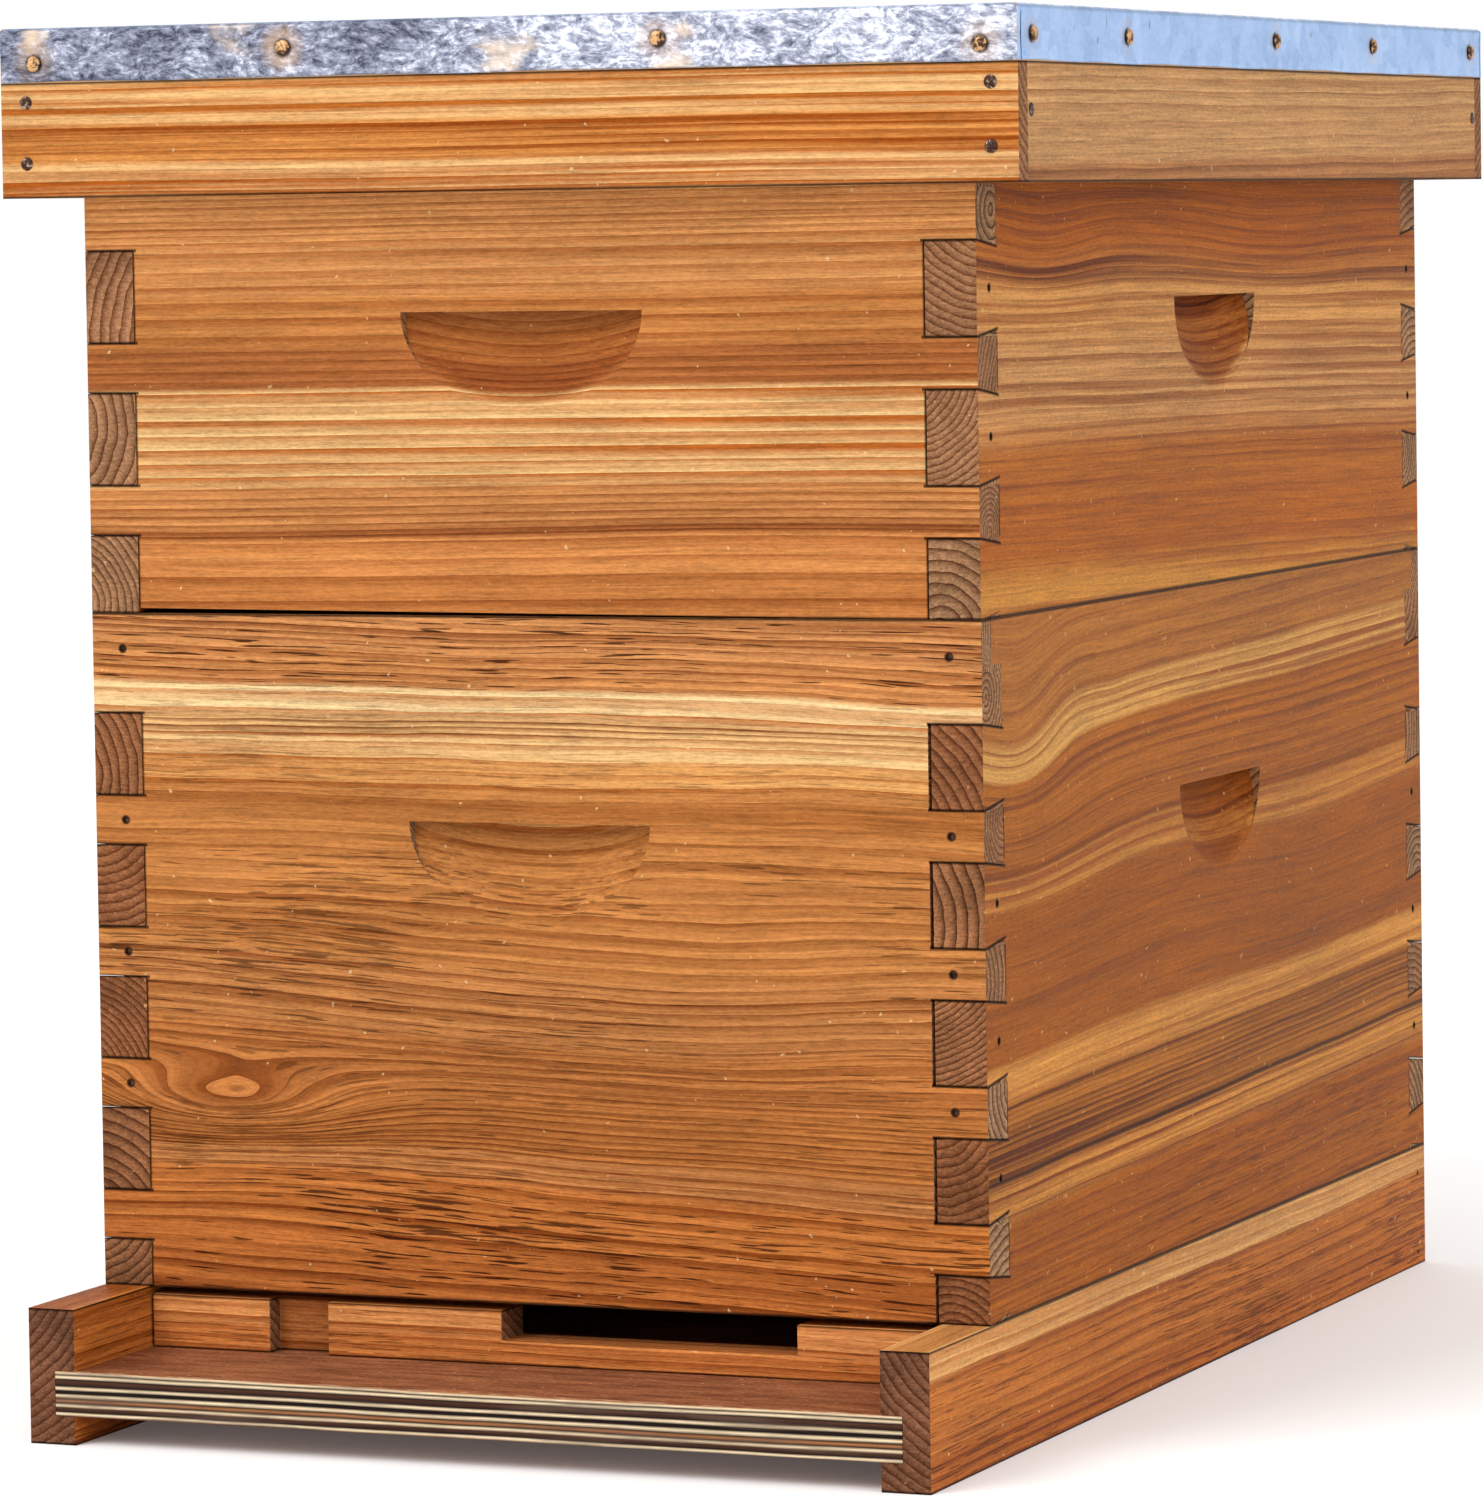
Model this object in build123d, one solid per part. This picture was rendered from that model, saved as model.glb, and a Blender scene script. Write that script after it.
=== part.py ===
from build123d import *
import math
import os

# Wooden beehive of movable frames: a grooved bottom board with a landing, an entrance reducer,
# a deep and a medium box with through-dovetailed corners, eight frames in each, an inner cover
# and a telescoping outer cover under a folded metal sheet.
# Millimetres. +Z is up, the entrance faces -Y, and the origin lies on the ground under the
# middle of the overall plan.

# ---- boxes -----------------------------------------------------------------------------------
BOX_WIDTH = 343.0            # outside, across the frames
BOX_LENGTH = 505.0           # outside, along the frames
DEEP_HEIGHT = 244.0
MEDIUM_HEIGHT = 168.0
BOARD = 19.0                 # thickness of every box board
RABBET_WIDTH = 9.5           # ledge that the frame lugs rest on, in the two end boards
RABBET_DEPTH = 16.0
DOVETAIL_PIN = 18.0          # narrow face of a pin
DOVETAIL_SLOPE = 1 / 8
DOVETAIL_GAP = 0.2           # glue line on each flank of a tail
SHOULDER_GAP = 0.3           # beside the end of a tail
WIDE_SHOULDER_GAP = 1.2      # the same on the right of the deep box, where the socket is cut long
DEEP_TAILS = 4
DEEP_TOP_PIN = 36.0
DEEP_BOTTOM_TAIL = 17.0
DEEP_NAILED_PINS = 4         # counted from the top
DEEP_NAILED_TAILS = 3        # counted from the lowest whole tail
MEDIUM_TAILS = 2
MEDIUM_TOP_PIN = 37.5
MEDIUM_BOTTOM_TAIL = 28.0
MEDIUM_NAILED_PINS = 0
MEDIUM_NAILED_TAILS = 2
HANDHOLD_WIDTH = 93.0
HANDHOLD_HEIGHT = 35.0
HANDHOLD_DEPTH = 13.0
HANDHOLD_FLOOR_RADIUS = 150.0
DEEP_HANDHOLD_BELOW_TOP = 73.2
MEDIUM_HANDHOLD_BELOW_TOP = 60.5
WOOD_NAIL_RADIUS = 1.1
WOOD_NAIL_LENGTH = 38.0
WOOD_NAIL_SET = 1.0          # the heads are set this far below the wood
WOOD_NAIL_INSET = 12.0       # from the corner to the row of nails
TOP_NAIL_DROP = 12.8         # of the nail in the top pin, below the top of the box

# ---- bottom board ----------------------------------------------------------------------------
RAIL_THICKNESS = 18.0
RAIL_BELOW_FLOOR = 10.3
FLOOR_THICKNESS = 16.0
RAIL_ABOVE_FLOOR = 22.2
GROOVE_DEPTH = 8.0
GROOVE_CLEARANCE = 0.2       # total, across the floor panel's thickness
LANDING = 59.0               # the floor and the rails run out this far in front of the boxes
REAR_RAIL_THICKNESS = 19.0

# ---- entrance reducer ------------------------------------------------------------------------
REDUCER_TOP_CLEARANCE = 2.7  # under the front board of the box
REDUCER_DEPTH = 19.0
REDUCER_END_CLEARANCE = 0.8
REDUCER_SETBACK = 0.5        # behind the face of the box
WIDE_NOTCH_WIDTH = 113.0
WIDE_NOTCH_DEPTH = 11.0
WIDE_NOTCH_CENTRE = 42.5     # to the right of the middle
SMALL_NOTCH_WIDTH = 23.0
SMALL_NOTCH_DEPTH = 8.0
SMALL_NOTCH_CENTRE = -94.0

# ---- frames ----------------------------------------------------------------------------------
FRAME_PITCH = 35.2
INSPECTION_FRAME = 3         # the place, counted from the left from 0, of the frame taken out first
FRAME_BEE_SPACE = 8.0        # between an end bar and the end board
LUG_END_CLEARANCE = 1.7
LUG_WIDTH = 22.0
LUG_THICKNESS = 9.5
TOP_BAR_WIDTH = 27.0
TOP_BAR_THICKNESS = 19.0
END_BAR_THICKNESS = 9.5
END_BAR_TOP_WIDTH = 35.0
END_BAR_WIDTH = 27.0
END_BAR_SHOULDER = 64.0      # height of the wide part at the top
END_BAR_TAPER = 12.0
BOTTOM_BAR_WIDTH = 19.0
BOTTOM_BAR_THICKNESS = 9.5
FOUNDATION_THICKNESS = 2.0
DEEP_FRAME_BOTTOM_SPACE = 5.5
MEDIUM_FRAME_BOTTOM_SPACE = 2.5

# ---- inner cover -----------------------------------------------------------------------------
INNER_COVER_HEIGHT = 23.0
INNER_RIM_WIDTH = 32.0
INNER_PANEL_THICKNESS = 6.0
INNER_PANEL_GROOVE = 9.0
INNER_HOLE_LENGTH = 92.0
INNER_HOLE_WIDTH = 32.0

# ---- outer cover -----------------------------------------------------------------------------
COVER_SIDE_CLEARANCE = 7.0   # between the box and the inside of the rim
COVER_END_CLEARANCE = 2.5
RIM_THICKNESS = 16.0
RIM_HEIGHT = 41.2
RIM_LAP = 9.0                # wood left outside the half-lap at the ends of the front and rear rims
TOP_BOARD_THICKNESS = 19.0
SHEET_THICKNESS = 0.6
SHEET_SEAM = 0.8
SHEET_NAIL_RADIUS = 1.2
SHEET_NAIL_LENGTH = 24.0
SHEET_NAIL_HEAD_RADIUS = 3.2
SHEET_NAIL_HEAD_HEIGHT = 1.6
# Along half a side, then millimetres below the top of the sheet.
END_SHEET_NAILS = ((-0.93, 12.8), (-0.42, 9.1), (0.32, 9.2), (0.93, 13.6))
SIDE_SHEET_NAILS = ((-0.95, 10.4), (-0.59, 10.0), (0.02, 8.9), (0.46, 9.1), (0.94, 9.6))
RIM_NAIL_INSET = 10.0
RIM_NAIL_HEIGHTS = (0.3, 0.83)   # along the rim's height, through the front and rear rims
RIM_SIDE_NAIL_HEIGHT = 0.6

# ---- levels and shared places ----------------------------------------------------------------
FLOOR_TOP = RAIL_BELOW_FLOOR + FLOOR_THICKNESS
RAIL_HEIGHT = FLOOR_TOP + RAIL_ABOVE_FLOOR
REDUCER_HEIGHT = RAIL_ABOVE_FLOOR - REDUCER_TOP_CLEARANCE
DEEP_BASE = RAIL_HEIGHT
MEDIUM_BASE = DEEP_BASE + DEEP_HEIGHT
INNER_COVER_BASE = MEDIUM_BASE + MEDIUM_HEIGHT
TOP_BOARD_BASE = INNER_COVER_BASE + INNER_COVER_HEIGHT
SHEET_TOP = TOP_BOARD_BASE + TOP_BOARD_THICKNESS + SHEET_THICKNESS
HALF_WIDTH = BOX_WIDTH / 2
HALF_LENGTH = BOX_LENGTH / 2
COVER_HALF_WIDTH = HALF_WIDTH + COVER_SIDE_CLEARANCE + RIM_THICKNESS
COVER_HALF_LENGTH = HALF_LENGTH + COVER_END_CLEARANCE + RIM_THICKNESS
FRAME_COUNT = int((BOX_WIDTH - 2 * BOARD) // FRAME_PITCH)
FRAME_TOP_DROP = RABBET_DEPTH - LUG_THICKNESS
FRONT_REACH = HALF_LENGTH + LANDING
REAR_REACH = COVER_HALF_LENGTH + SHEET_THICKNESS + SHEET_NAIL_HEAD_HEIGHT
HIVE_CENTRE_Y = (FRONT_REACH - REAR_REACH) / 2
CUT = 1.0                    # how far a cutting solid runs past the face that it opens


def block(x0, x1, y0, y1, z0, z1):
    """A box between six planes."""
    place = Pos((x0 + x1) / 2, (y0 + y1) / 2, (z0 + z1) / 2)
    return place * Box(x1 - x0, y1 - y0, z1 - z0)


def rod_y(radius, x, y0, y1, z):
    """A round rod along Y."""
    return Pos(x, (y0 + y1) / 2, z) * Rot(X=90) * Cylinder(radius, abs(y1 - y0))


def rod_x(radius, x0, x1, y, z):
    """A round rod along X."""
    return Pos((x0 + x1) / 2, y, z) * Rot(Y=90) * Cylinder(radius, abs(x1 - x0))


def left_right(shape):
    """The mirror image of a shape on the other side of the hive."""
    return mirror(shape, about=Plane.YZ)


def front_rear(shape):
    """The mirror image of a shape at the other end of the hive."""
    return mirror(shape, about=Plane.XZ)


def at_all_corners(shapes):
    """The shapes of the right front corner, repeated at all four corners."""
    right = shapes + [front_rear(shape) for shape in shapes]
    return right + [left_right(shape) for shape in right]


# ---- dovetailed boxes ------------------------------------------------------------------------

def tail_spans(height, tails, top_pin, bottom_tail):
    """The bottom and top of each tail on the face of the end board, from the bottom up."""
    tail = (height - top_pin - bottom_tail - tails * DOVETAIL_PIN) / tails
    spans = [(0.0, bottom_tail)]
    for index in range(tails):
        low = bottom_tail + DOVETAIL_PIN + index * (tail + DOVETAIL_PIN)
        spans.append((low, low + tail))
    return spans


def tail_prism(span, gap, x0, x1, run_out):
    """One tail of the right front corner, grown by a gap on its flanks and past the front face."""
    low, high = span
    slope = BOARD * DOVETAIL_SLOPE
    front_slope = run_out * DOVETAIL_SLOPE
    front = -HALF_LENGTH - run_out
    shoulder = -HALF_LENGTH + BOARD
    outline = Polyline(
        (front, low - gap - front_slope),
        (front, high + gap + front_slope),
        (shoulder, high + gap - slope),
        (shoulder, low - gap + slope),
        close=True,
    )
    return Pos(x0, 0, 0) * extrude(Plane.YZ * make_face(outline), amount=x1 - x0)


def handhold_cutter():
    """A grip with a level ledge on top and a dished floor that runs out at the bottom.

    The face of the board is the plane y = 0, the wood is on the +Y side, the ledge is at z = 0.
    """
    outline = extrude(
        Plane.XZ * Ellipse(HANDHOLD_WIDTH / 2, HANDHOLD_HEIGHT), amount=2 * HANDHOLD_DEPTH, both=True
    )
    below = block(
        -HANDHOLD_WIDTH, HANDHOLD_WIDTH, -CUT, 2 * HANDHOLD_DEPTH, -2 * HANDHOLD_HEIGHT, 0
    )
    tilt = math.degrees(math.atan2(HANDHOLD_DEPTH, HANDHOLD_HEIGHT))
    dish = Cylinder(HANDHOLD_FLOOR_RADIUS, 6 * HANDHOLD_HEIGHT)
    dish = Pos(0, HANDHOLD_DEPTH, 0) * Rot(X=-tilt) * Pos(0, -HANDHOLD_FLOOR_RADIUS, 0) * dish
    return outline & below & dish


def box_nails(height, spans, nailed_pins, nailed_tails):
    """Nails of the right front corner: through pins from the front, through tails from the side."""
    pin_middles = [(low[1] + high[0]) / 2 for low, high in zip(spans, spans[1:])]
    pin_heights = pin_middles + [height - TOP_NAIL_DROP]
    tail_heights = [(low + high) / 2 for low, high in spans[1:]]
    head_y = -HALF_LENGTH + WOOD_NAIL_SET
    head_x = HALF_WIDTH - WOOD_NAIL_SET
    nails = []
    for z in pin_heights[len(pin_heights) - nailed_pins:]:
        x = HALF_WIDTH - WOOD_NAIL_INSET
        nails.append(rod_y(WOOD_NAIL_RADIUS, x, head_y, head_y + WOOD_NAIL_LENGTH, z))
    for z in tail_heights[:nailed_tails]:
        y = -HALF_LENGTH + WOOD_NAIL_INSET
        nails.append(rod_x(WOOD_NAIL_RADIUS, head_x - WOOD_NAIL_LENGTH, head_x, y, z))
    return nails


def open_holes(nails):
    """Holes for nails that point along Y or along X, open to the face that the head is set under."""
    holes = []
    for nail in nails:
        size = nail.bounding_box().size
        step = Pos(0, -WOOD_NAIL_SET - CUT, 0) if size.Y > size.X else Pos(WOOD_NAIL_SET + CUT, 0, 0)
        holes += [nail, step * nail]
    return holes


def end_board(height, spans, holes, right_gap, handhold_drop):
    """The front board: sockets at both ends, the frame ledge inside and a handhold."""
    front = -HALF_LENGTH
    board = block(-HALF_WIDTH, HALF_WIDTH, front, front + BOARD, 0, height)
    board -= block(
        -HALF_WIDTH - CUT, HALF_WIDTH + CUT, front + RABBET_WIDTH, front + BOARD + CUT,
        height - RABBET_DEPTH, height + CUT,
    )
    for span in spans:
        shoulder = HALF_WIDTH - BOARD
        board -= tail_prism(span, DOVETAIL_GAP, shoulder - right_gap, HALF_WIDTH + CUT, CUT)
        left = tail_prism(span, DOVETAIL_GAP, shoulder - SHOULDER_GAP, HALF_WIDTH + CUT, CUT)
        board -= left_right(left)
    for hole in holes:
        board -= hole
        board -= left_right(hole)
    return board - Pos(0, front, height - handhold_drop) * handhold_cutter()


def side_board(height, spans, holes, handhold_drop):
    """The right board: tails at both ends, tongues that fill the frame ledges, a handhold."""
    inner = HALF_WIDTH - BOARD
    shoulder = HALF_LENGTH - BOARD
    board = block(inner, HALF_WIDTH, -shoulder, shoulder, 0, height)
    ends = [tail_prism(span, 0, inner, HALF_WIDTH, 0) for span in spans]
    tongue = block(
        inner, HALF_WIDTH, -HALF_LENGTH + RABBET_WIDTH, -shoulder, height - RABBET_DEPTH, height
    )
    for piece in ends + [tongue]:
        board += piece
        board += front_rear(piece)
    for hole in holes:
        board -= hole
        board -= front_rear(hole)
    grip = Pos(HALF_WIDTH, 0, height - handhold_drop) * Rot(Z=90) * handhold_cutter()
    return board - grip


def box_nodes(name, base, height, spans, nails, right_gap, handhold_drop):
    """Four boards and the nails of one box."""
    lift = Pos(0, 0, base)
    holes = open_holes(nails)
    front = end_board(height, spans, holes, right_gap, handhold_drop)
    right = side_board(height, spans, holes, handhold_drop)
    return {
        f"{name}_front_board": lift * front,
        f"{name}_rear_board": lift * front_rear(front),
        f"{name}_right_board": lift * right,
        f"{name}_left_board": lift * left_right(right),
        f"{name}_box_nails": lift * Compound(at_all_corners(nails)),
    }


# ---- bottom board and reducer ----------------------------------------------------------------

def groove(x0, x1, y0, y1):
    """The cut that takes the edge of the floor panel."""
    slack = GROOVE_CLEARANCE / 2
    return block(x0, x1, y0, y1, RAIL_BELOW_FLOOR - slack, FLOOR_TOP + slack)


def bottom_board_nodes():
    """Two side rails and a rear rail around a loose floor panel, nailed at the rear."""
    inner = HALF_WIDTH - RAIL_THICKNESS
    front = -HALF_LENGTH - LANDING
    rear_inner = HALF_LENGTH - REAR_RAIL_THICKNESS
    panel_rear = rear_inner + GROOVE_DEPTH
    rail = block(inner, HALF_WIDTH, front, HALF_LENGTH, 0, RAIL_HEIGHT)
    rail -= groove(inner - CUT, inner + GROOVE_DEPTH, front - CUT, panel_rear + GROOVE_CLEARANCE)
    rear = block(-inner, inner, rear_inner, HALF_LENGTH, 0, RAIL_HEIGHT)
    rear -= groove(-inner - CUT, inner + CUT, rear_inner - CUT, panel_rear + GROOVE_CLEARANCE)
    panel_half = inner + GROOVE_DEPTH - GROOVE_CLEARANCE
    panel = block(-panel_half, panel_half, front, panel_rear, RAIL_BELOW_FLOOR, FLOOR_TOP)
    nails = []
    for height in (RAIL_BELOW_FLOOR / 2, FLOOR_TOP + RAIL_ABOVE_FLOOR / 2):
        head = HALF_WIDTH - WOOD_NAIL_SET
        y = HALF_LENGTH - REAR_RAIL_THICKNESS / 2
        nails.append(rod_x(WOOD_NAIL_RADIUS, head - WOOD_NAIL_LENGTH, head, y, height))
    both_sides = nails + [left_right(nail) for nail in nails]
    for hole in open_holes(nails):
        rail -= hole
    for nail in both_sides:
        rear -= nail
    return {
        "right_rail": rail,
        "left_rail": left_right(rail),
        "rear_rail": rear,
        "floor_panel": panel,
        "bottom_board_nails": Compound(both_sides),
    }


def entrance_reducer():
    """A loose stick on the floor, with a wide notch on top and a small one in its face."""
    half = HALF_WIDTH - RAIL_THICKNESS - REDUCER_END_CLEARANCE
    front = -HALF_LENGTH + REDUCER_SETBACK
    top = FLOOR_TOP + REDUCER_HEIGHT
    stick = block(-half, half, front, front + REDUCER_DEPTH, FLOOR_TOP, top)
    wide = block(
        WIDE_NOTCH_CENTRE - WIDE_NOTCH_WIDTH / 2, WIDE_NOTCH_CENTRE + WIDE_NOTCH_WIDTH / 2,
        front - CUT, front + REDUCER_DEPTH + CUT, top - WIDE_NOTCH_DEPTH, top + CUT,
    )
    small = block(
        SMALL_NOTCH_CENTRE - SMALL_NOTCH_WIDTH / 2, SMALL_NOTCH_CENTRE + SMALL_NOTCH_WIDTH / 2,
        front - CUT, front + SMALL_NOTCH_DEPTH, FLOOR_TOP - CUT, top + CUT,
    )
    return stick - wide - small


# ---- frames ----------------------------------------------------------------------------------

def frame_pieces(box_base, box_height, bottom_space):
    """Top bar, two end bars, bottom bar and foundation of a frame in the middle of its box."""
    top = box_base + box_height - FRAME_TOP_DROP
    bottom = box_base + bottom_space
    ledge = top - LUG_THICKNESS
    outer = HALF_LENGTH - BOARD - FRAME_BEE_SPACE
    inner = outer - END_BAR_THICKNESS
    lug_end = HALF_LENGTH - RABBET_WIDTH - LUG_END_CLEARANCE
    bar_half = TOP_BAR_WIDTH / 2
    lug_half = LUG_WIDTH / 2
    bottom_half = BOTTOM_BAR_WIDTH / 2
    top_bar = block(-bar_half, bar_half, -inner, inner, top - TOP_BAR_THICKNESS, top)
    top_bar += block(-lug_half, lug_half, -lug_end, lug_end, ledge, top)
    bottom_bar = block(-bottom_half, bottom_half, -outer, outer, bottom, bottom + BOTTOM_BAR_THICKNESS)
    shoulder = top - END_BAR_SHOULDER
    waist = shoulder - END_BAR_TAPER
    outline = Polyline(
        (-END_BAR_TOP_WIDTH / 2, top), (END_BAR_TOP_WIDTH / 2, top), (END_BAR_TOP_WIDTH / 2, shoulder),
        (END_BAR_WIDTH / 2, waist), (END_BAR_WIDTH / 2, bottom), (-END_BAR_WIDTH / 2, bottom),
        (-END_BAR_WIDTH / 2, waist), (-END_BAR_TOP_WIDTH / 2, shoulder),
        close=True,
    )
    end_bar = Pos(0, -inner, 0) * extrude(Plane.XZ * make_face(outline), amount=END_BAR_THICKNESS)
    end_bar -= block(-lug_half, lug_half, -outer - CUT, -inner + CUT, ledge, top + CUT)
    end_bar -= block(
        -bottom_half, bottom_half, -outer - CUT, -inner + CUT, bottom - CUT, bottom + BOTTOM_BAR_THICKNESS
    )
    foundation = block(
        -FOUNDATION_THICKNESS / 2, FOUNDATION_THICKNESS / 2, -inner, inner,
        bottom + BOTTOM_BAR_THICKNESS, top - TOP_BAR_THICKNESS,
    )
    return {
        "top_bar": top_bar,
        "end_bar_front": end_bar,
        "end_bar_rear": front_rear(end_bar),
        "bottom_bar": bottom_bar,
        "foundation": foundation,
    }


def frame_nodes(name, base, height, bottom_space):
    """A box full of frames: the inspection frame piece by piece, the others one node each."""
    pieces = frame_pieces(base, height, bottom_space)
    nodes = {}
    foundations = []
    number = 0
    for place in range(FRAME_COUNT):
        shift = Pos((place - (FRAME_COUNT - 1) / 2) * FRAME_PITCH, 0, 0)
        if place == INSPECTION_FRAME:
            for piece, shape in pieces.items():
                nodes[f"{name}_inspection_{piece}"] = shift * shape
            continue
        number += 1
        bars = [shift * shape for piece, shape in pieces.items() if piece != "foundation"]
        nodes[f"{name}_frame_{number}"] = Compound(bars)
        foundations.append(shift * pieces["foundation"])
    nodes[f"{name}_foundations"] = Compound(foundations)
    return nodes


# ---- covers ----------------------------------------------------------------------------------

def inner_cover_nodes():
    """Four grooved rims around a thin panel with a long hole."""
    base = INNER_COVER_BASE
    top = base + INNER_COVER_HEIGHT
    inner_x = HALF_WIDTH - INNER_RIM_WIDTH
    inner_y = HALF_LENGTH - INNER_RIM_WIDTH
    middle = (base + top) / 2
    panel_base = middle - INNER_PANEL_THICKNESS / 2
    panel_top = middle + INNER_PANEL_THICKNESS / 2
    panel_x = inner_x + INNER_PANEL_GROOVE
    panel_y = inner_y + INNER_PANEL_GROOVE
    panel = block(-panel_x, panel_x, -panel_y, panel_y, panel_base, panel_top)
    hole = Pos(0, 0, middle) * Rot(Z=90) * extrude(
        SlotOverall(INNER_HOLE_LENGTH, INNER_HOLE_WIDTH), amount=INNER_PANEL_THICKNESS, both=True
    )
    side = block(inner_x, HALF_WIDTH, -HALF_LENGTH, HALF_LENGTH, base, top)
    end = block(-inner_x, inner_x, -HALF_LENGTH, -inner_y, base, top)
    return {
        "inner_cover_rim_right": side - panel,
        "inner_cover_rim_left": left_right(side) - panel,
        "inner_cover_rim_front": end - panel,
        "inner_cover_rim_rear": front_rear(end) - panel,
        "inner_cover_panel": panel - hole,
    }


def rim_nails():
    """Nails of the right front corner of the cover rim: two from the front, one from the side."""
    base = TOP_BOARD_BASE - RIM_HEIGHT
    head_y = -COVER_HALF_LENGTH + WOOD_NAIL_SET
    head_x = COVER_HALF_WIDTH - WOOD_NAIL_SET
    nails = []
    for share in RIM_NAIL_HEIGHTS:
        height = base + share * RIM_HEIGHT
        x = COVER_HALF_WIDTH - RIM_NAIL_INSET
        nails.append(rod_y(WOOD_NAIL_RADIUS, x, head_y, head_y + WOOD_NAIL_LENGTH, height))
    height = base + RIM_SIDE_NAIL_HEIGHT * RIM_HEIGHT
    y = -COVER_HALF_LENGTH + (RIM_LAP + RIM_THICKNESS) / 2
    nails.append(rod_x(WOOD_NAIL_RADIUS, head_x - WOOD_NAIL_LENGTH, head_x, y, height))
    return nails


def sheet_nail_places():
    """Where each nail enters the fold of the sheet, turned so that its head looks outwards."""
    places = []
    face_x = COVER_HALF_WIDTH + SHEET_THICKNESS
    face_y = COVER_HALF_LENGTH + SHEET_THICKNESS
    for share, drop in END_SHEET_NAILS:
        x = share * COVER_HALF_WIDTH
        places.append(Pos(x, -face_y, SHEET_TOP - drop))
        places.append(Pos(x, face_y, SHEET_TOP - drop) * Rot(Z=180))
    for share, drop in SIDE_SHEET_NAILS:
        y = share * COVER_HALF_LENGTH
        places.append(Pos(face_x, y, SHEET_TOP - drop) * Rot(Z=90))
        places.append(Pos(-face_x, y, SHEET_TOP - drop) * Rot(Z=-90))
    return places


def sheet_nail():
    """A nail that points along +Y, turned from its half outline: point, shank and domed head."""
    rise = SHEET_NAIL_HEAD_HEIGHT
    crown = ThreePointArc(
        (0, -rise), (SHEET_NAIL_HEAD_RADIUS * 0.6, -rise * 0.7), (SHEET_NAIL_HEAD_RADIUS, 0)
    )
    shank = Polyline(
        (SHEET_NAIL_HEAD_RADIUS, 0), (SHEET_NAIL_RADIUS, 0), (SHEET_NAIL_RADIUS, SHEET_NAIL_LENGTH),
        (0, SHEET_NAIL_LENGTH), (0, -rise),
    )
    return revolve(make_face([crown, shank]), axis=Axis.Y)


def outer_cover_nodes():
    """Half-lapped rim, top board, folded sheet and both sets of nails."""
    base = TOP_BOARD_BASE - RIM_HEIGHT
    half_x = COVER_HALF_WIDTH
    half_y = COVER_HALF_LENGTH
    lap_x = half_x - RIM_THICKNESS
    front = block(-half_x, half_x, -half_y, -half_y + RIM_THICKNESS, base, TOP_BOARD_BASE)
    lap = block(
        lap_x, half_x + CUT, -half_y + RIM_LAP, -half_y + RIM_THICKNESS + CUT,
        base - CUT, TOP_BOARD_BASE + CUT,
    )
    front = front - lap - left_right(lap)
    side = block(lap_x, half_x, -half_y + RIM_LAP, half_y - RIM_LAP, base, TOP_BOARD_BASE)
    for hole in open_holes(rim_nails()):
        front = front - hole - left_right(hole)
        side = side - hole - front_rear(hole)
    top_board = block(-half_x, half_x, -half_y, half_y, TOP_BOARD_BASE, TOP_BOARD_BASE + TOP_BOARD_THICKNESS)
    skin = SHEET_THICKNESS
    sheet = block(-half_x - skin, half_x + skin, -half_y - skin, half_y + skin, TOP_BOARD_BASE, SHEET_TOP)
    sheet -= top_board
    seam = block(
        half_x - CUT, half_x + skin + CUT, -half_y, -half_y + SHEET_SEAM,
        TOP_BOARD_BASE - CUT, SHEET_TOP - 2 * skin,
    )
    for corner_seam in at_all_corners([seam]):
        sheet -= corner_seam
    shank = rod_y(SHEET_NAIL_RADIUS, 0, -CUT, SHEET_NAIL_LENGTH, 0)
    for place in sheet_nail_places():
        sheet -= place * shank
        top_board -= place * shank
    nails = Compound([place * sheet_nail() for place in sheet_nail_places()])
    return {
        "cover_rim_front": front,
        "cover_rim_rear": front_rear(front),
        "cover_rim_right": side,
        "cover_rim_left": left_right(side),
        "cover_top_board": top_board,
        "cover_metal_sheet": sheet,
        "cover_rim_nails": Compound(at_all_corners(rim_nails())),
        "cover_sheet_nails": nails,
    }


# ---- assembly --------------------------------------------------------------------------------

def hive_nodes():
    """Every node of the hive, with the boxes centred on the origin."""
    deep_spans = tail_spans(DEEP_HEIGHT, DEEP_TAILS, DEEP_TOP_PIN, DEEP_BOTTOM_TAIL)
    medium_spans = tail_spans(MEDIUM_HEIGHT, MEDIUM_TAILS, MEDIUM_TOP_PIN, MEDIUM_BOTTOM_TAIL)
    nodes = bottom_board_nodes()
    nodes["entrance_reducer"] = entrance_reducer()
    deep_nails = box_nails(DEEP_HEIGHT, deep_spans, DEEP_NAILED_PINS, DEEP_NAILED_TAILS)
    medium_nails = box_nails(MEDIUM_HEIGHT, medium_spans, MEDIUM_NAILED_PINS, MEDIUM_NAILED_TAILS)
    nodes |= box_nodes(
        "deep", DEEP_BASE, DEEP_HEIGHT, deep_spans, deep_nails, WIDE_SHOULDER_GAP, DEEP_HANDHOLD_BELOW_TOP
    )
    nodes |= box_nodes(
        "medium", MEDIUM_BASE, MEDIUM_HEIGHT, medium_spans, medium_nails, SHOULDER_GAP,
        MEDIUM_HANDHOLD_BELOW_TOP,
    )
    nodes |= frame_nodes("deep", DEEP_BASE, DEEP_HEIGHT, DEEP_FRAME_BOTTOM_SPACE)
    nodes |= frame_nodes("medium", MEDIUM_BASE, MEDIUM_HEIGHT, MEDIUM_FRAME_BOTTOM_SPACE)
    nodes |= inner_cover_nodes()
    nodes |= outer_cover_nodes()
    return nodes


os.makedirs("parts", exist_ok=True)
for node_name, node_shape in hive_nodes().items():
    export_step(Pos(0, HIVE_CENTRE_Y, 0) * node_shape, f"parts/{node_name}.step")
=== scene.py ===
"""Looks of a waxed wooden beehive: timber, a folded zinc sheet, turned nails and wired wax."""

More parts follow.
